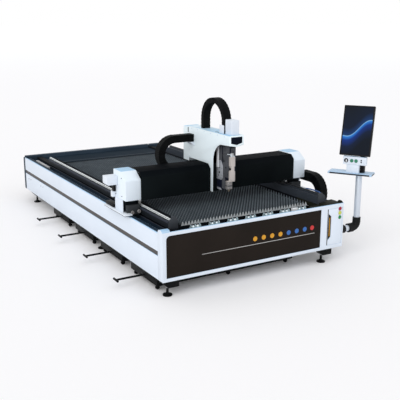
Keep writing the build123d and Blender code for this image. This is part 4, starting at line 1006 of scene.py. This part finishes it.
for side in (0, 1):
    bothSides(shape, (rackSet["left"], railSet["start"], rackSet["low"] + rackSet["tooth"]),
              (rackSet["right"], railSet["end"], rackSet["top"]), side)
racks.append(keepMesh("rackBars", shape))
fit(merge("rackBars", *racks), "bed", "rackNavy", "bright_steel")
print("rails made")


# front panel: thin stripe and plain coloured discs
stripeSet = {"left": 458, "right": 1935, "z": 394, "tall": 6, "y": 6, "proud": 0.6}
half = stripeSet["tall"] / 2
boxPiece("frontStripe", "bed", "stripeSilver", "white_paint",
         [((stripeSet["left"], stripeSet["y"] - stripeSet["proud"], stripeSet["z"] - half),
           (stripeSet["right"], stripeSet["y"], stripeSet["z"] + half))], 0.2, 1)
dotSet = {"y": 6, "radius": 27,
          "profile": [(1, 0), (1, 0.4), (0.97, 0.7), (0.80, 0.7), (0.78, 0.5), (0, 0.5)],
          "places": [(1119, 455, "dotAmber"), (1231, 455, "dotAmber"), (1343, 455, "dotAmber"),
                     (1455, 455, "dotAmber"), (1567, 455, "dotBlue"), (1679, 457, "dotBlue"),
                     (1791, 459, "dotBlue"), (1896, 461, "dotRed")]}
for paint in ("dotAmber", "dotBlue", "dotRed"):
    spots = [at(x, dotSet["y"], z) for x, z, kind in dotSet["places"] if kind == paint]
    turnedPiece("front" + paint[0].upper() + paint[1:], "bed", paint, "panel_black",
                scaled(dotSet["profile"], dotSet["radius"]), spots, forward, 32)


# door: dark gap line of painted shade, gasket and amber grip strip, and plugs of the left panel
doorSet = {"gapShade": (((2112, -0.7, 216), (2122.8, 4, 644)), ((2120.2, 2, 218), (2122.8, 20, 642))),
           "gasket": (((2120.2, 3, 642.4), (2336, 18, 644.8)), ((2120.2, 3, 215.2), (2336, 18, 217.6)),
                      ((2333.5, 6, 239), (2335.8, 16, 621))),
           "strip": (((2140, -0.4, 322), (2152, 4, 544)),)}
# dark strips along the door's gap: painted shade
boxPiece("doorSeal", "bed", "blackPlastic", "black_plastic", doorSet["gapShade"], 0.3, 1)
boxPiece("doorGasket", "bed", "ivoryPlastic", "white_paint", doorSet["gasket"], 0.3, 1)
boxPiece("handleStrip", "door", "amberPlastic", "lamp_plastic", doorSet["strip"], 0.6)
plugSet = {"places": ((4520, 360), (4415, 365), (3919, 366), (3824, 370)), "radius": 9,
           "profile": [(1, 0), (1, 0.6), (0.8, 0.6), (0.7, 0.3), (0, 0.3)]}
turnedPiece("panelPlugs", "bed", "trimGrey", "trim_grey", scaled(plugSet["profile"], plugSet["radius"]),
            [at(0, y, z) for y, z in plugSet["places"]], leftward, 16)
print("front made")


# nose badge, a plain dark plate
badgeSet = {"x": 1106, "y": 371.8, "half": 71, "high": 1506, "low": 1438, "tip": 1418, "thick": 3.4}
left, right = badgeSet["x"] - badgeSet["half"], badgeSet["x"] + badgeSet["half"]
badgeOutline = ((left, "high"), (left, "low"), (badgeSet["x"], "tip"), (right, "low"), (right, "high"))
shape = bmesh.new()
addPrism(shape, [at(x, badgeSet["y"], badgeSet[level]) for x, level in badgeOutline],
         shift(0, badgeSet["thick"], 0))
fit(soften(keepMesh("noseBadge", shape), 0.8), "carriage", "badgeNavy", "white_paint")


# hood: dark plates in the slots as painted shade, chain bracket and guides, cover screws
hoodSet = {"left": 1012, "slots": (((1011.2, 1268, 1446), (1014, 1284, 1506)),
                                   ((1198, 1268, 1120), (1200.8, 1284, 1506)),
                                   ((1056, 626, 1519), (1070, 742, 1520.4))),
           "shelf": (((958, 1134, 1344), (1012, 1240, 1350)), ((1004, 1134, 1310), (1012, 1240, 1350))),
           "gusset": ((1004, 1310), (1004, 1344), (966, 1344)), "gussetY": (1134, 1236), "gussetThick": 4,
           "guides": (((1050, 548, 1520), (1055, 640, 1612)), ((1156, 548, 1520), (1161, 640, 1612))),
           "topScrews": (470, 1502), "topPitch": 145, "topCount": 6,
           "rearScrews": (1252, 1160), "rearPitch": 85, "rearCount": 3}
# dark plates where the slots are: painted shade in the slots
boxPiece("hoodSlots", "carriage", "blackPlastic", "black_plastic", hoodSet["slots"], 0.3, 1)
shape = bmesh.new()
for low, high in hoodSet["shelf"]:
    addBox(shape, at(*low), at(*high))
for y in hoodSet["gussetY"]:
    addPrism(shape, [at(x, y, z) for x, z in hoodSet["gusset"]], shift(0, hoodSet["gussetThick"], 0))
fit(soften(keepMesh("chainBracket", shape), 1.2), "carriage", "plainWhite", "white_paint")
boxPiece("chainGuides", "carriage", "plainWhite", "white_paint", hoodSet["guides"], 1)
hoodScrews = [gridPiece("hoodScrewsA", screwLeft, 1, hoodSet["topCount"],
                        at(hoodSet["left"], *hoodSet["topScrews"]), origin,
                        shift(0, hoodSet["topPitch"], 0), "zincPlate"),
              gridPiece("hoodScrewsB", screwLeft, hoodSet["rearCount"], 1,
                        at(hoodSet["left"], *hoodSet["rearScrews"]),
                        shift(0, 0, hoodSet["rearPitch"]), origin, "zincPlate")]
fit(merge("hoodScrews", *hoodScrews), "carriage", "whitePaint", "white_paint")
print("hood made")


# head: side plates with holes drawn as dark discs of painted shade, connectors, leads and screws
headSet = {"face": 1080, "cover": (((1074, 688, 1118), (1080, 736, 1396)),), "plateThick": 4,
           "plate": ((634, 985), (736, 985), (736, 1112), (684, 1112), (684, 1206), (640, 1206), (604, 1146),
                     (604, 1015)),
           "mount": (((1081, 480, 1030), (1085, 612, 1392)), ((1077, 628, 1200), (1080, 689, 1392)),
                     ((1080, 498, 1056), (1081, 594, 1220)), ((1081, 566, 890), (1085, 634, 1036))),
           "foot": (((1078, 640, 868), (1166, 728, 888)), ((1072, 632, 868), (1084, 702, 878))),
           "neckBracket": (((1092, 452, 1284), (1136, 466, 1380)), ((1092, 452, 1366), (1136, 520, 1380))),
           "drawer": (((1049, 451, 944), (1103, 452.5, 958)), ((1045.5, 456, 944), (1047, 495, 958)))}
# the slide cover takes the near-white painted highlight
boxPiece("slideCover", "head", "slideStripPaintedHighlight", "slide_grey", headSet["cover"], 1.5)
plateFace = headSet["face"] - headSet["plateThick"]
shape = bmesh.new()
addPrism(shape, [at(plateFace, y, z) for y, z in headSet["plate"]], shift(headSet["plateThick"], 0, 0))
fit(soften(keepMesh("slidePlate", shape), 1), "head", "plateSilver", "slide_grey")
boxPiece("mountPlate", "head", "slideGrey", "slide_grey", headSet["mount"], 0.8)
boxPiece("slideFoot", "head", "plateSilver", "slide_grey", headSet["foot"], 1.5)
holeSet = {"deep": 0.5,  # places as y, z, radius
           "plate": ((640, 1004, 6), (720, 1004, 6), (720, 1094, 6), (660, 1186, 6), (622, 1120, 5),
                     (622, 1040, 5), (676, 1066, 13), (668, 1120, 8), (690, 1030, 8)),
           "mount": ((508, 1066, 5), (584, 1066, 5), (508, 1210, 5), (584, 1210, 5), (546, 1140, 9),
                     (508, 1370, 5), (584, 1370, 5))}
# black discs on the plates stand for holes: painted shade
shape = bmesh.new()
for x, places in ((plateFace, holeSet["plate"]), (headSet["face"], holeSet["mount"])):
    for y, z, radius in places:
        profile = [(radius, 0), (radius, holeSet["deep"]), (0, holeSet["deep"])]
        addLathe(shape, scaled(profile), at(x, y, z), leftward, 14)
fit(keepMesh("plateHoles", shape), "head", "blackPaint", "black_paint")
boxPiece("neckBracket", "head", "slideGrey", "slide_grey", headSet["neckBracket"], 1.5)
connectorSet = {"y": 440, "z": 1276,  # places as x, height, radius
                "places": ((1078, 38, 9), (1104, 26, 7), (1120, 18, 5)),
                "shares": [(1, 0), (1, 0.4), (1.25, 0.42), (1.25, 0.7), (0.8, 0.72), (0.7, 1), (0, 1)],
                "side": (1078, 440, 1306), "sideWay": (-1, 0.25, 0.1),
                "sideProfile": [(7, 0), (7, 30), (9, 31), (9, 46), (0, 46)]}
shape = bmesh.new()
for x, tall, radius in connectorSet["places"]:
    profile = [(radius * wide, tall * share) for wide, share in connectorSet["shares"]]
    addLathe(shape, scaled(profile), at(x, connectorSet["y"], connectorSet["z"]), upwards, 14)
addLathe(shape, scaled(connectorSet["sideProfile"]), at(*connectorSet["side"]),
         Vector(connectorSet["sideWay"]), 14)
fit(keepMesh("headConnectors", shape), "head", "ballChrome", "bright_steel")
leadSet = {"thin": 4.2, "thick": 5, "steps": 6,
           "upper": (((1104, 440, 1296), (1104, 440, 1318), (1106, 452, 1350), (1108, 486, 1362),
                      (1110, 510, 1358)),
                     ((1120, 440, 1290), (1120, 440, 1312), (1122, 452, 1340), (1124, 492, 1352),
                      (1126, 516, 1348))),
           "side": ((1034, 451, 1311), (1020, 470, 1316), (1022, 520, 1300), (1046, 560, 1260),
                    (1072, 580, 1200))}
shape = bmesh.new()
for route in leadSet["upper"]:
    addTube(shape, smoothPath([at(*spot) for spot in route], leadSet["steps"]), leadSet["thin"] * mm)
addTube(shape, smoothPath([at(*spot) for spot in leadSet["side"]], leadSet["steps"]), leadSet["thick"] * mm)
fit(keepMesh("headLeads", shape), "head", "cableGrey", "black_plastic")
waistSet = {"middle": 1099, "spread": 24.4, "half": 3.4, "y": (436, 464), "z": (1132, 1152)}
waistBoxes = []
for side in (-1, 1):
    x = waistSet["middle"] + side * waistSet["spread"]
    waistBoxes.append(((x - waistSet["half"], waistSet["y"][0], waistSet["z"][0]),
                       (x + waistSet["half"], waistSet["y"][1], waistSet["z"][1])))
boxPiece("headWaist", "head", "blackPaint", "black_paint", waistBoxes, 1, 1)
headScrewSet = {"profile": [(4.2, 0), (4.2, 2), (3.4, 3), (2, 3), (1.8, 1.2), (0, 1.2)],
                "rows": ((430, (1018, 1104, 1176, 1262), (1077, 1121)), (452, (928, 985), (1053, 1099)))}
spots = [at(x, y, z) for y, heights, columns in headScrewSet["rows"] for z in heights for x in columns]
turnedPiece("headScrews", "head", "zincPlate", "zinc_plate", scaled(headScrewSet["profile"]), spots,
            forward, 10)
boxPiece("lensDrawer", "head", "slideGrey", "slide_grey", headSet["drawer"], 0.4, 1)
print("head made")


# gantry: leg brackets, shoes, motor plate, dark strips under the bases as a painted shadow line, bolts and
# cover screws
legSet = {"front": 812, "faceThick": 40, "block": ((66, 816, 676), (141, 1040, 726)),
          "face": ((-8, 706), (26, 706), (26, 678), (145, 678), (145, 786), (-8, 786)),
          "shoe": ((-40, 1110, 702), (18, 1322, 741)), "motorShoe": ((-61, 1036, 906), (-35.5, 1094, 990)),
          "motorPlate": ((-76, 1044, 842), (-35.5, 1092, 905)),
          "shadowStrip": ((-65, 748, 684), (22, 1327, 690.5))}
boltSet = {"places": ((52, 703), (132, 709)), "radius": 20,
           "profile": [(1, 0), (1, 10), (0.86, 14), (0.6, 14), (0.55, 8), (0.2, 8), (0.18, 16), (0, 16)]}
coverScrewSet = {"side": (-34.6, 880, 880), "sideSteps": (160, 200), "front": (200, 768, 850),
                 "frontPitch": 176, "frontCount": 12}
shape = bmesh.new()
for mirrored in (0, 1):
    bothSides(shape, *legSet["block"], mirrored)
    outline = [at(mirrorX(x, mirrored), legSet["front"], z) for x, z in legSet["face"]]
    addPrism(shape, outline, shift(0, legSet["faceThick"], 0))
fit(soften(keepMesh("legBrackets", shape), 1.5), "gantry", "bracketGrey", "black_paint")
shape = bmesh.new()
for mirrored in (0, 1):
    bothSides(shape, *legSet["shoe"], mirrored)
bothSides(shape, *legSet["motorShoe"], 0)
fit(soften(keepMesh("legShoes", shape), 2), "gantry", "blackPaint", "black_paint")
boxPiece("motorPlate", "gantry", "plainWhite", "white_paint", [legSet["motorPlate"]], 2)
# thin dark strips under the base plates: a painted shadow line
shape = bmesh.new()
for mirrored in (0, 1):
    bothSides(shape, *legSet["shadowStrip"], mirrored)
fit(soften(keepMesh("baseRubbers", shape), 1, 1), "gantry", "bracketGrey", "black_paint")
spots = [at(mirrorX(x, mirrored), legSet["front"], z) for mirrored in (0, 1) for x, z in boltSet["places"]]
turnedPiece("legBolts", "gantry", "lensGrey", "bright_steel", scaled(boltSet["profile"], boltSet["radius"]),
            spots, forward, 24)
alongY, upZ = coverScrewSet["sideSteps"]
coverScrews = [gridPiece("coverScrewsA", screwLeft, 2, 2, at(*coverScrewSet["side"]), shift(0, alongY, 0),
                         shift(0, 0, upZ), "zincPlate"),
               gridPiece("coverScrewsB", screwFront, coverScrewSet["frontCount"], 1,
                         at(*coverScrewSet["front"]), shift(coverScrewSet["frontPitch"], 0, 0), origin,
                         "zincPlate")]
fit(merge("coverScrews", *coverScrews), "gantry", "blackPaint", "black_paint")
print("gantry made")


# loading edge: cups and cheeks of the ball units, a white stop block, and the cabinet lid
ballSet = {"first": 469, "pitch": 231, "count": 7, "y": 159, "z": 645.7, "cups": (-27, 27),
           "cup": [(18.6, 0), (24.5, 0), (24.5, 4), (21.5, 11), (18.6, 11.5), (18.4, 4)],
           "cheeks": (-54, 0, 54), "cheekThick": 5,
           "cheek": ((140, 640), (180, 640), (180, 668), (172, 676), (156, 676), (140, 660))}
ballPlaces = [ballSet["first"] + ballSet["pitch"] * index for index in range(ballSet["count"])]
spots = [at(x + aside, ballSet["y"], ballSet["z"]) for x in ballPlaces for aside in ballSet["cups"]]
turnedPiece("ballCups", "bed", "tealZinc", "zinc_plate", scaled(ballSet["cup"]), spots, upwards, 20)
stopSet = {"boxes": (((1726, 140, 620), (1798, 184, 672)), ((1738, 136, 628), (1786, 140, 660)))}
boxPiece("stopBlock", "bed", "ivoryPlastic", "white_paint", stopSet["boxes"], 3)
shape = bmesh.new()
for x in ballPlaces:
    for aside in ballSet["cheeks"]:
        face = x + aside - ballSet["cheekThick"] / 2
        addPrism(shape, [at(face, y, z) for y, z in ballSet["cheek"]], shift(ballSet["cheekThick"], 0, 0))
fit(soften(keepMesh("ballCheeks", shape), 0.6, 1), "bed", "tealZinc", "zinc_plate")
lidSet = {"top": ((2104, 15, 671), (2343, 210, 689)), "ledge": ((1930, 18, 662), (2103, 126, 675)),
          "finX": 2343.5, "finThick": 5,
          "fin": ((15, 650), (106, 650), (106, 690), (96, 704), (78, 712), (48, 713), (28, 706), (15, 693))}
shape = bmesh.new()
addBox(shape, *[at(*spot) for spot in lidSet["top"]])
addPrism(shape, [at(lidSet["finX"], y, z) for y, z in lidSet["fin"]], shift(lidSet["finThick"], 0, 0))
addBox(shape, *[at(*spot) for spot in lidSet["ledge"]])
fit(soften(keepMesh("cabinetLid", shape), 1.2), "bed", "oliveDark", "frame_paint")


# feet and rear end: nuts, rear screws, lug and lip of the deck
nutSet = {"x": (85, 2100), "y": (70, 1813.2, 4428), "low": 84, "radius": 17, "sides": 6,
          "profile": [(0.94, 0), (1, 1), (1, 9), (0.94, 10)]}
spots = [at(x, y, nutSet["low"]) for x in nutSet["x"] for y in nutSet["y"]]
turnedPiece("footNuts", "bed", "zincPlate", "zinc_plate", scaled(nutSet["profile"], nutSet["radius"]), spots,
            upwards, nutSet["sides"])
rearSet = {"columns": 9, "rows": 2, "first": (135, 4675, 262), "across": 260, "up": 312,
           "lug": ((2082, 4588, 694), (2106, 4600, 712)), "lip": ((258, 3962, 671), (2092, 4064, 674))}
rearScrews = gridPiece("rearScrews", screwBack, rearSet["columns"], rearSet["rows"], at(*rearSet["first"]),
                       shift(rearSet["across"], 0, 0), shift(0, 0, rearSet["up"]), "zincPlate")
fit(rearScrews, "bed", "zincPlate", "zinc_plate")
boxPiece("deckLug", "bed", "zincPlate", "zinc_plate", [rearSet["lug"]], 2)
# the lip takes the deck's darker navy copy: painted shade
boxPiece("deckLip", "bed", "deckNavyShadedCopy", "navy_paint", [rearSet["lip"]], 0.8)


# gutters: cables laid along the floor, runner and rims, and a hose at the right rail
gutterSet = {"floor": 570, "front": 140, "back": 4560, "spots": 24, "sway": 5, "swayStep": 1.3,
             "swayLine": 2.1, "steps": 3,
             "lines": ((82, 9, "cableGrey"), (104, 7, "cableTeal"), (122, 8, "cableGrey"),
                       (142, 6, "cableRed")),
             "runner": ((78, 3790, 560), (112, 4360, 668)), "rim": ((163, 180, 638), (174, 3940, 644))}
cableStep = (gutterSet["back"] - gutterSet["front"]) / (gutterSet["spots"] - 1)
for paint in ("cableGrey", "cableTeal", "cableRed"):
    shape = bmesh.new()
    for mirrored in (0, 1):
        for number, (x, radius, kind) in enumerate(gutterSet["lines"]):
            if kind == paint:
                path = []
                for step in range(gutterSet["spots"]):
                    angle = step * gutterSet["swayStep"] + number * gutterSet["swayLine"]
                    sway = gutterSet["sway"] * math.sin(angle)
                    path.append(at(mirrorX(x, mirrored) + sway, gutterSet["front"] + cableStep * step,
                                   gutterSet["floor"] + radius))
                addTube(shape, smoothPath(path, gutterSet["steps"]), radius * mm)
    fit(keepMesh("gutter" + paint[0].upper() + paint[1:], shape), "bed", paint, "black_plastic")
boxPiece("gutterRunner", "bed", "pinkGrey", "trim_grey", [gutterSet["runner"]], 2)
shape = bmesh.new()
for mirrored in (0, 1):
    bothSides(shape, *gutterSet["rim"], mirrored)
fit(soften(keepMesh("gutterRims", shape), 1, 1), "bed", "rackNavy", "trim_grey")
hoseSet = {"radius": 8, "sides": 10, "steps": 6,
           "route": ((2197, 214, 757), (2203, 250, 771), (2207, 300, 780), (2206, 400, 781), (2202, 490, 777),
                     (2197, 540, 757))}
shape = bmesh.new()
addTube(shape, smoothPath([at(*spot) for spot in hoseSet["route"]], hoseSet["steps"]), hoseSet["radius"] * mm,
        hoseSet["sides"])
fit(keepMesh("railHose", shape), "bed", "hoseBlue", "black_plastic")
print("bed details made")


# pendant: tray edge, lights and rings, knob face, arm collar, monitor back
def pendantBox(shape, u0, u1, v0, v1, z0, z1):
    corners = [atPendant(u0, v0, z0), atPendant(u1, v0, z0), atPendant(u1, v1, z0), atPendant(u0, v1, z0)]
    addPrism(shape, corners, shift(0, 0, z1 - z0))


traySet = {"u": (-345.2, 165.2), "v": (-116.2, 64.2), "z": (994, 1011), "proud": 1, "inset": 22}
(u0, u1), (v0, v1) = traySet["u"], traySet["v"]
proud, inset = traySet["proud"], traySet["inset"]
shape = bmesh.new()
for near, far in ((v0 - proud, v0), (v1, v1 + proud)):
    pendantBox(shape, u0 + inset, u1 - inset, near, far, *traySet["z"])
for near, far in ((u0 - proud, u0), (u1, u1 + proud)):
    pendantBox(shape, near, far, v0 + inset, v1 - inset, *traySet["z"])
fit(keepMesh("trayEdge", shape), "pendant", "edgeNavy", "tray_blue")
controlSet = {"face": -95, "z": 1159.5, "lightU": 37, "lightZ": (1149, 1170), "knobU": -138,
              "buttonU": (-73, -23), "light": [(8, 0), (8, 3), (6, 5), (0, 5.6)],
              "knobRing": [(16.5, 0), (24.5, 0), (24.5, 2.4), (23, 3.8), (16.5, 3.8)],
              "buttonRing": [(16.5, 0), (20.5, 0), (20.5, 2.2), (19.5, 3.2), (16.5, 3.2)]}
knobSet = {"face": -111.5, "radius": 16, "steps": 12, "thick": 1.2}
toFront = pendantTurn @ forward
shape = bmesh.new()
for z in controlSet["lightZ"]:
    addLathe(shape, scaled(controlSet["light"]), atPendant(controlSet["lightU"], controlSet["face"], z),
             toFront, 16)
knobSpot = atPendant(controlSet["knobU"], controlSet["face"], controlSet["z"])
addLathe(shape, scaled(controlSet["knobRing"]), knobSpot, toFront, 28)
fit(keepMesh("controlLights", shape), "pendant", "blackPlastic", "black_plastic")
spots = [atPendant(u, controlSet["face"], controlSet["z"]) for u in controlSet["buttonU"]]
turnedPiece("controlRings", "pendant", "greenPlastic", "green_plastic", scaled(controlSet["buttonRing"]),
            spots, toFront, 26)
shape = bmesh.new()
outline = []
for step in range(knobSet["steps"] + 1):
    angle = -math.pi / 2 + math.pi * step / knobSet["steps"]
    outline.append(atPendant(controlSet["knobU"] + knobSet["radius"] * math.cos(angle), knobSet["face"],
                             controlSet["z"] + knobSet["radius"] * math.sin(angle)))
addPrism(shape, outline, toFront * (knobSet["thick"] * mm))
fit(keepMesh("knobFace", shape), "selector", "ivoryPlastic", "white_paint")
collarSet = {"rings": ((2350.5, [(46.5, 0), (48.5, 2), (48.5, 64), (46.5, 67), (38.3, 67)]),
                       (2474, [(38.3, 0), (49, 0), (53, 6), (53, 71)])), "sides": 36}
sleeveLow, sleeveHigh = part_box("arm_sleeve")
sleeveMiddle = (sleeveLow + sleeveHigh) / 2
shape = bmesh.new()
for x, profile in collarSet["rings"]:
    spot = Vector((at(x, 0, 0).x, sleeveMiddle.y, sleeveMiddle.z))
    addLathe(shape, scaled(profile), spot, rightward, collarSet["sides"])
fit(keepMesh("armCollar", shape), "bed", "blackPlastic", "black_plastic")
backSet = {"plate": 54, "thick": 2.6, "depth": 42.8, "screwAt": (-40, 40),
           "screw": [(6, 0), (6, 2), (4.5, 3.4), (0, 3.6)], "vents": 9, "ventLong": 120, "ventGap": 14,
           "ventFirst": 110, "ventTall": 5, "ventDepth": (42.4, 43.3)}
backWay = atScreen(0, 0, 1) - atScreen(0, 0, 0)
half, depth, plateTop = backSet["plate"], backSet["depth"], backSet["depth"] + backSet["thick"]


def screenBox(shape, u0, u1, w0, w1, d0, d1):
    corners = [atScreen(u0, w0, d0), atScreen(u1, w0, d0), atScreen(u1, w1, d0), atScreen(u0, w1, d0)]
    addPrism(shape, corners, backWay * (d1 - d0))


shape = bmesh.new()
screenBox(shape, -half, half, -half, half, depth, plateTop)
fit(soften(keepMesh("monitorBackPlate", shape), 0.8), "pendant", "bracketGrey", "black_plastic")
spots = [atScreen(u, w, plateTop) for u in backSet["screwAt"] for w in backSet["screwAt"]]
turnedPiece("monitorBackScrews", "pendant", "zincPlate", "zinc_plate", scaled(backSet["screw"]), spots,
            backWay, 14)
shape = bmesh.new()
half = backSet["ventLong"] / 2
for index in range(backSet["vents"]):
    w = backSet["ventFirst"] + index * backSet["ventGap"]
    screenBox(shape, -half, half, w, w + backSet["ventTall"], *backSet["ventDepth"])
fit(keepMesh("monitorVents", shape), "pendant", "bracketGrey", "black_plastic")
print("pendant details made")


# grip sleeves over the pull rods of the trolleys
gripSet = {"radius": 11.5, "z": 85, "reach": 300, "half": 54, "sides": 16}
radius = gripSet["radius"] * mm
aside = shift(0, gripSet["half"], 0)
for index in range(1, 5):
    low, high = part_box(f"trolley_{index}")
    bar = Vector((low[0] + radius, (low[1] + high[1]) / 2, gripSet["z"] * mm))
    shape = bmesh.new()
    for ends in ([bar, bar + shift(gripSet["reach"], 0, 0)], [bar - aside, bar + aside]):
        addTube(shape, ends, radius, gripSet["sides"])
    fit(keepMesh(f"gripSleeve{index}", shape), f"cart_{index}", "blackPaint", "black_paint")
print("trolley grips made")


# stage, light and camera
for unit in templates:
    bpy.data.objects.remove(unit, do_unlink=True)
stageSet = {"near": (0.955, 0.94, 0.945), "far": (1, 1, 1), "nearReach": 14, "farReach": 75, "half": 500,
            "drop": 0.0005, "rough": 0.9, "lift": 0.035, "sky": (1, 1, 1), "light": (0.97, 0.985, 1),
            "fill": 0.83, "sun": 1.05, "sunAngle": 52, "sunFrom": (-0.70, -0.50, 0.51)}


def seenRays(tree):  # 1 for what is seen straight, in a reflection or through glass
    ray = node(tree, "ShaderNodeLightPath")
    first = node(tree, "ShaderNodeMath", operation="MAXIMUM")
    second = node(tree, "ShaderNodeMath", operation="MAXIMUM")
    join(ray, "Is Camera Ray", first, 0)
    join(ray, "Is Glossy Ray", first, 1)
    join(first, "Value", second, 0)
    join(ray, "Is Transmission Ray", second, 1)
    return second


shape = bmesh.new()
bmesh.ops.create_grid(shape, x_segments=1, y_segments=1, size=stageSet["half"])
floor = keepMesh("studioFloor", shape)
floorMaterial, tree, shader = newMaterial("studioFloor")
spot = node(tree, "ShaderNodeTexCoord")
reach = node(tree, "ShaderNodeVectorMath", operation="LENGTH")
join(spot, "Object", reach, 0)
spread = node(tree, "ShaderNodeMapRange",
              {"From Min": stageSet["nearReach"], "From Max": stageSet["farReach"]},
              interpolation_type="SMOOTHSTEP")
join(reach, "Value", spread, "Value")
tint = node(tree, "ShaderNodeValToRGB")
for stop, key in zip(tint.color_ramp.elements, ("near", "far")):
    stop.color = (*stageSet[key], 1)
join(spread, "Result", tint, "Fac")
join(tint, "Color", shader, "Base Color")
# the lift is seen, but lights no matt surface
lift = node(tree, "ShaderNodeMath", {1: stageSet["lift"]}, operation="MULTIPLY")
join(seenRays(tree), "Value", lift, 0)
join(lift, "Value", shader, "Emission Strength")
adjust(shader, {"Roughness": stageSet["rough"], "Specular IOR Level": 0, "Emission Color": (1, 1, 1, 1)})
floor.data.materials.append(floorMaterial)
floor.location.z = -stageSet["drop"]

world = bpy.data.worlds.new("studio")
bpy.context.scene.world = world
world.use_nodes = True
sky = world.node_tree
sky.nodes.clear()
output = node(sky, "ShaderNodeOutputWorld")
mix = node(sky, "ShaderNodeMixShader")
lit = node(sky, "ShaderNodeBackground", {"Color": (*stageSet["light"], 1), "Strength": stageSet["fill"]})
seen = node(sky, "ShaderNodeBackground", {"Color": (*stageSet["sky"], 1), "Strength": 1})
join(seenRays(sky), "Value", mix, "Fac")
join(lit, "Background", mix, 1)
join(seen, "Background", mix, 2)
join(mix, "Shader", output, "Surface")

sunData = bpy.data.lights.new("softKey", "SUN")
sunData.energy = stageSet["sun"]
sunData.angle = math.radians(stageSet["sunAngle"])
sun = addObject("softKey", sunData)
sun.rotation_euler = Vector(stageSet["sunFrom"]).to_track_quat("Z", "Y").to_euler()

cameraSet = {"place": (-2923.0, -5753.1, 2707.8), "azimuth": -30.23, "elevation": 14.57, "lens": 61.68,
             "sensor": 36, "reach": 1500}
cameraData = bpy.data.cameras.new("photoCamera")
cameraData.lens = cameraSet["lens"]
cameraData.sensor_width = cameraSet["sensor"]
cameraData.clip_end = cameraSet["reach"]
camera = addObject("photoCamera", cameraData)
camera.location = at(*cameraSet["place"])
turn = math.radians(cameraSet["azimuth"])
rise = math.radians(cameraSet["elevation"])
back = Vector((math.sin(turn) * math.cos(rise), -math.cos(turn) * math.cos(rise), math.sin(rise)))
camera.rotation_euler = back.to_track_quat("Z", "Y").to_euler()
bpy.context.scene.camera = camera
bpy.context.scene.view_settings.view_transform = "Standard"
print("stage ready")
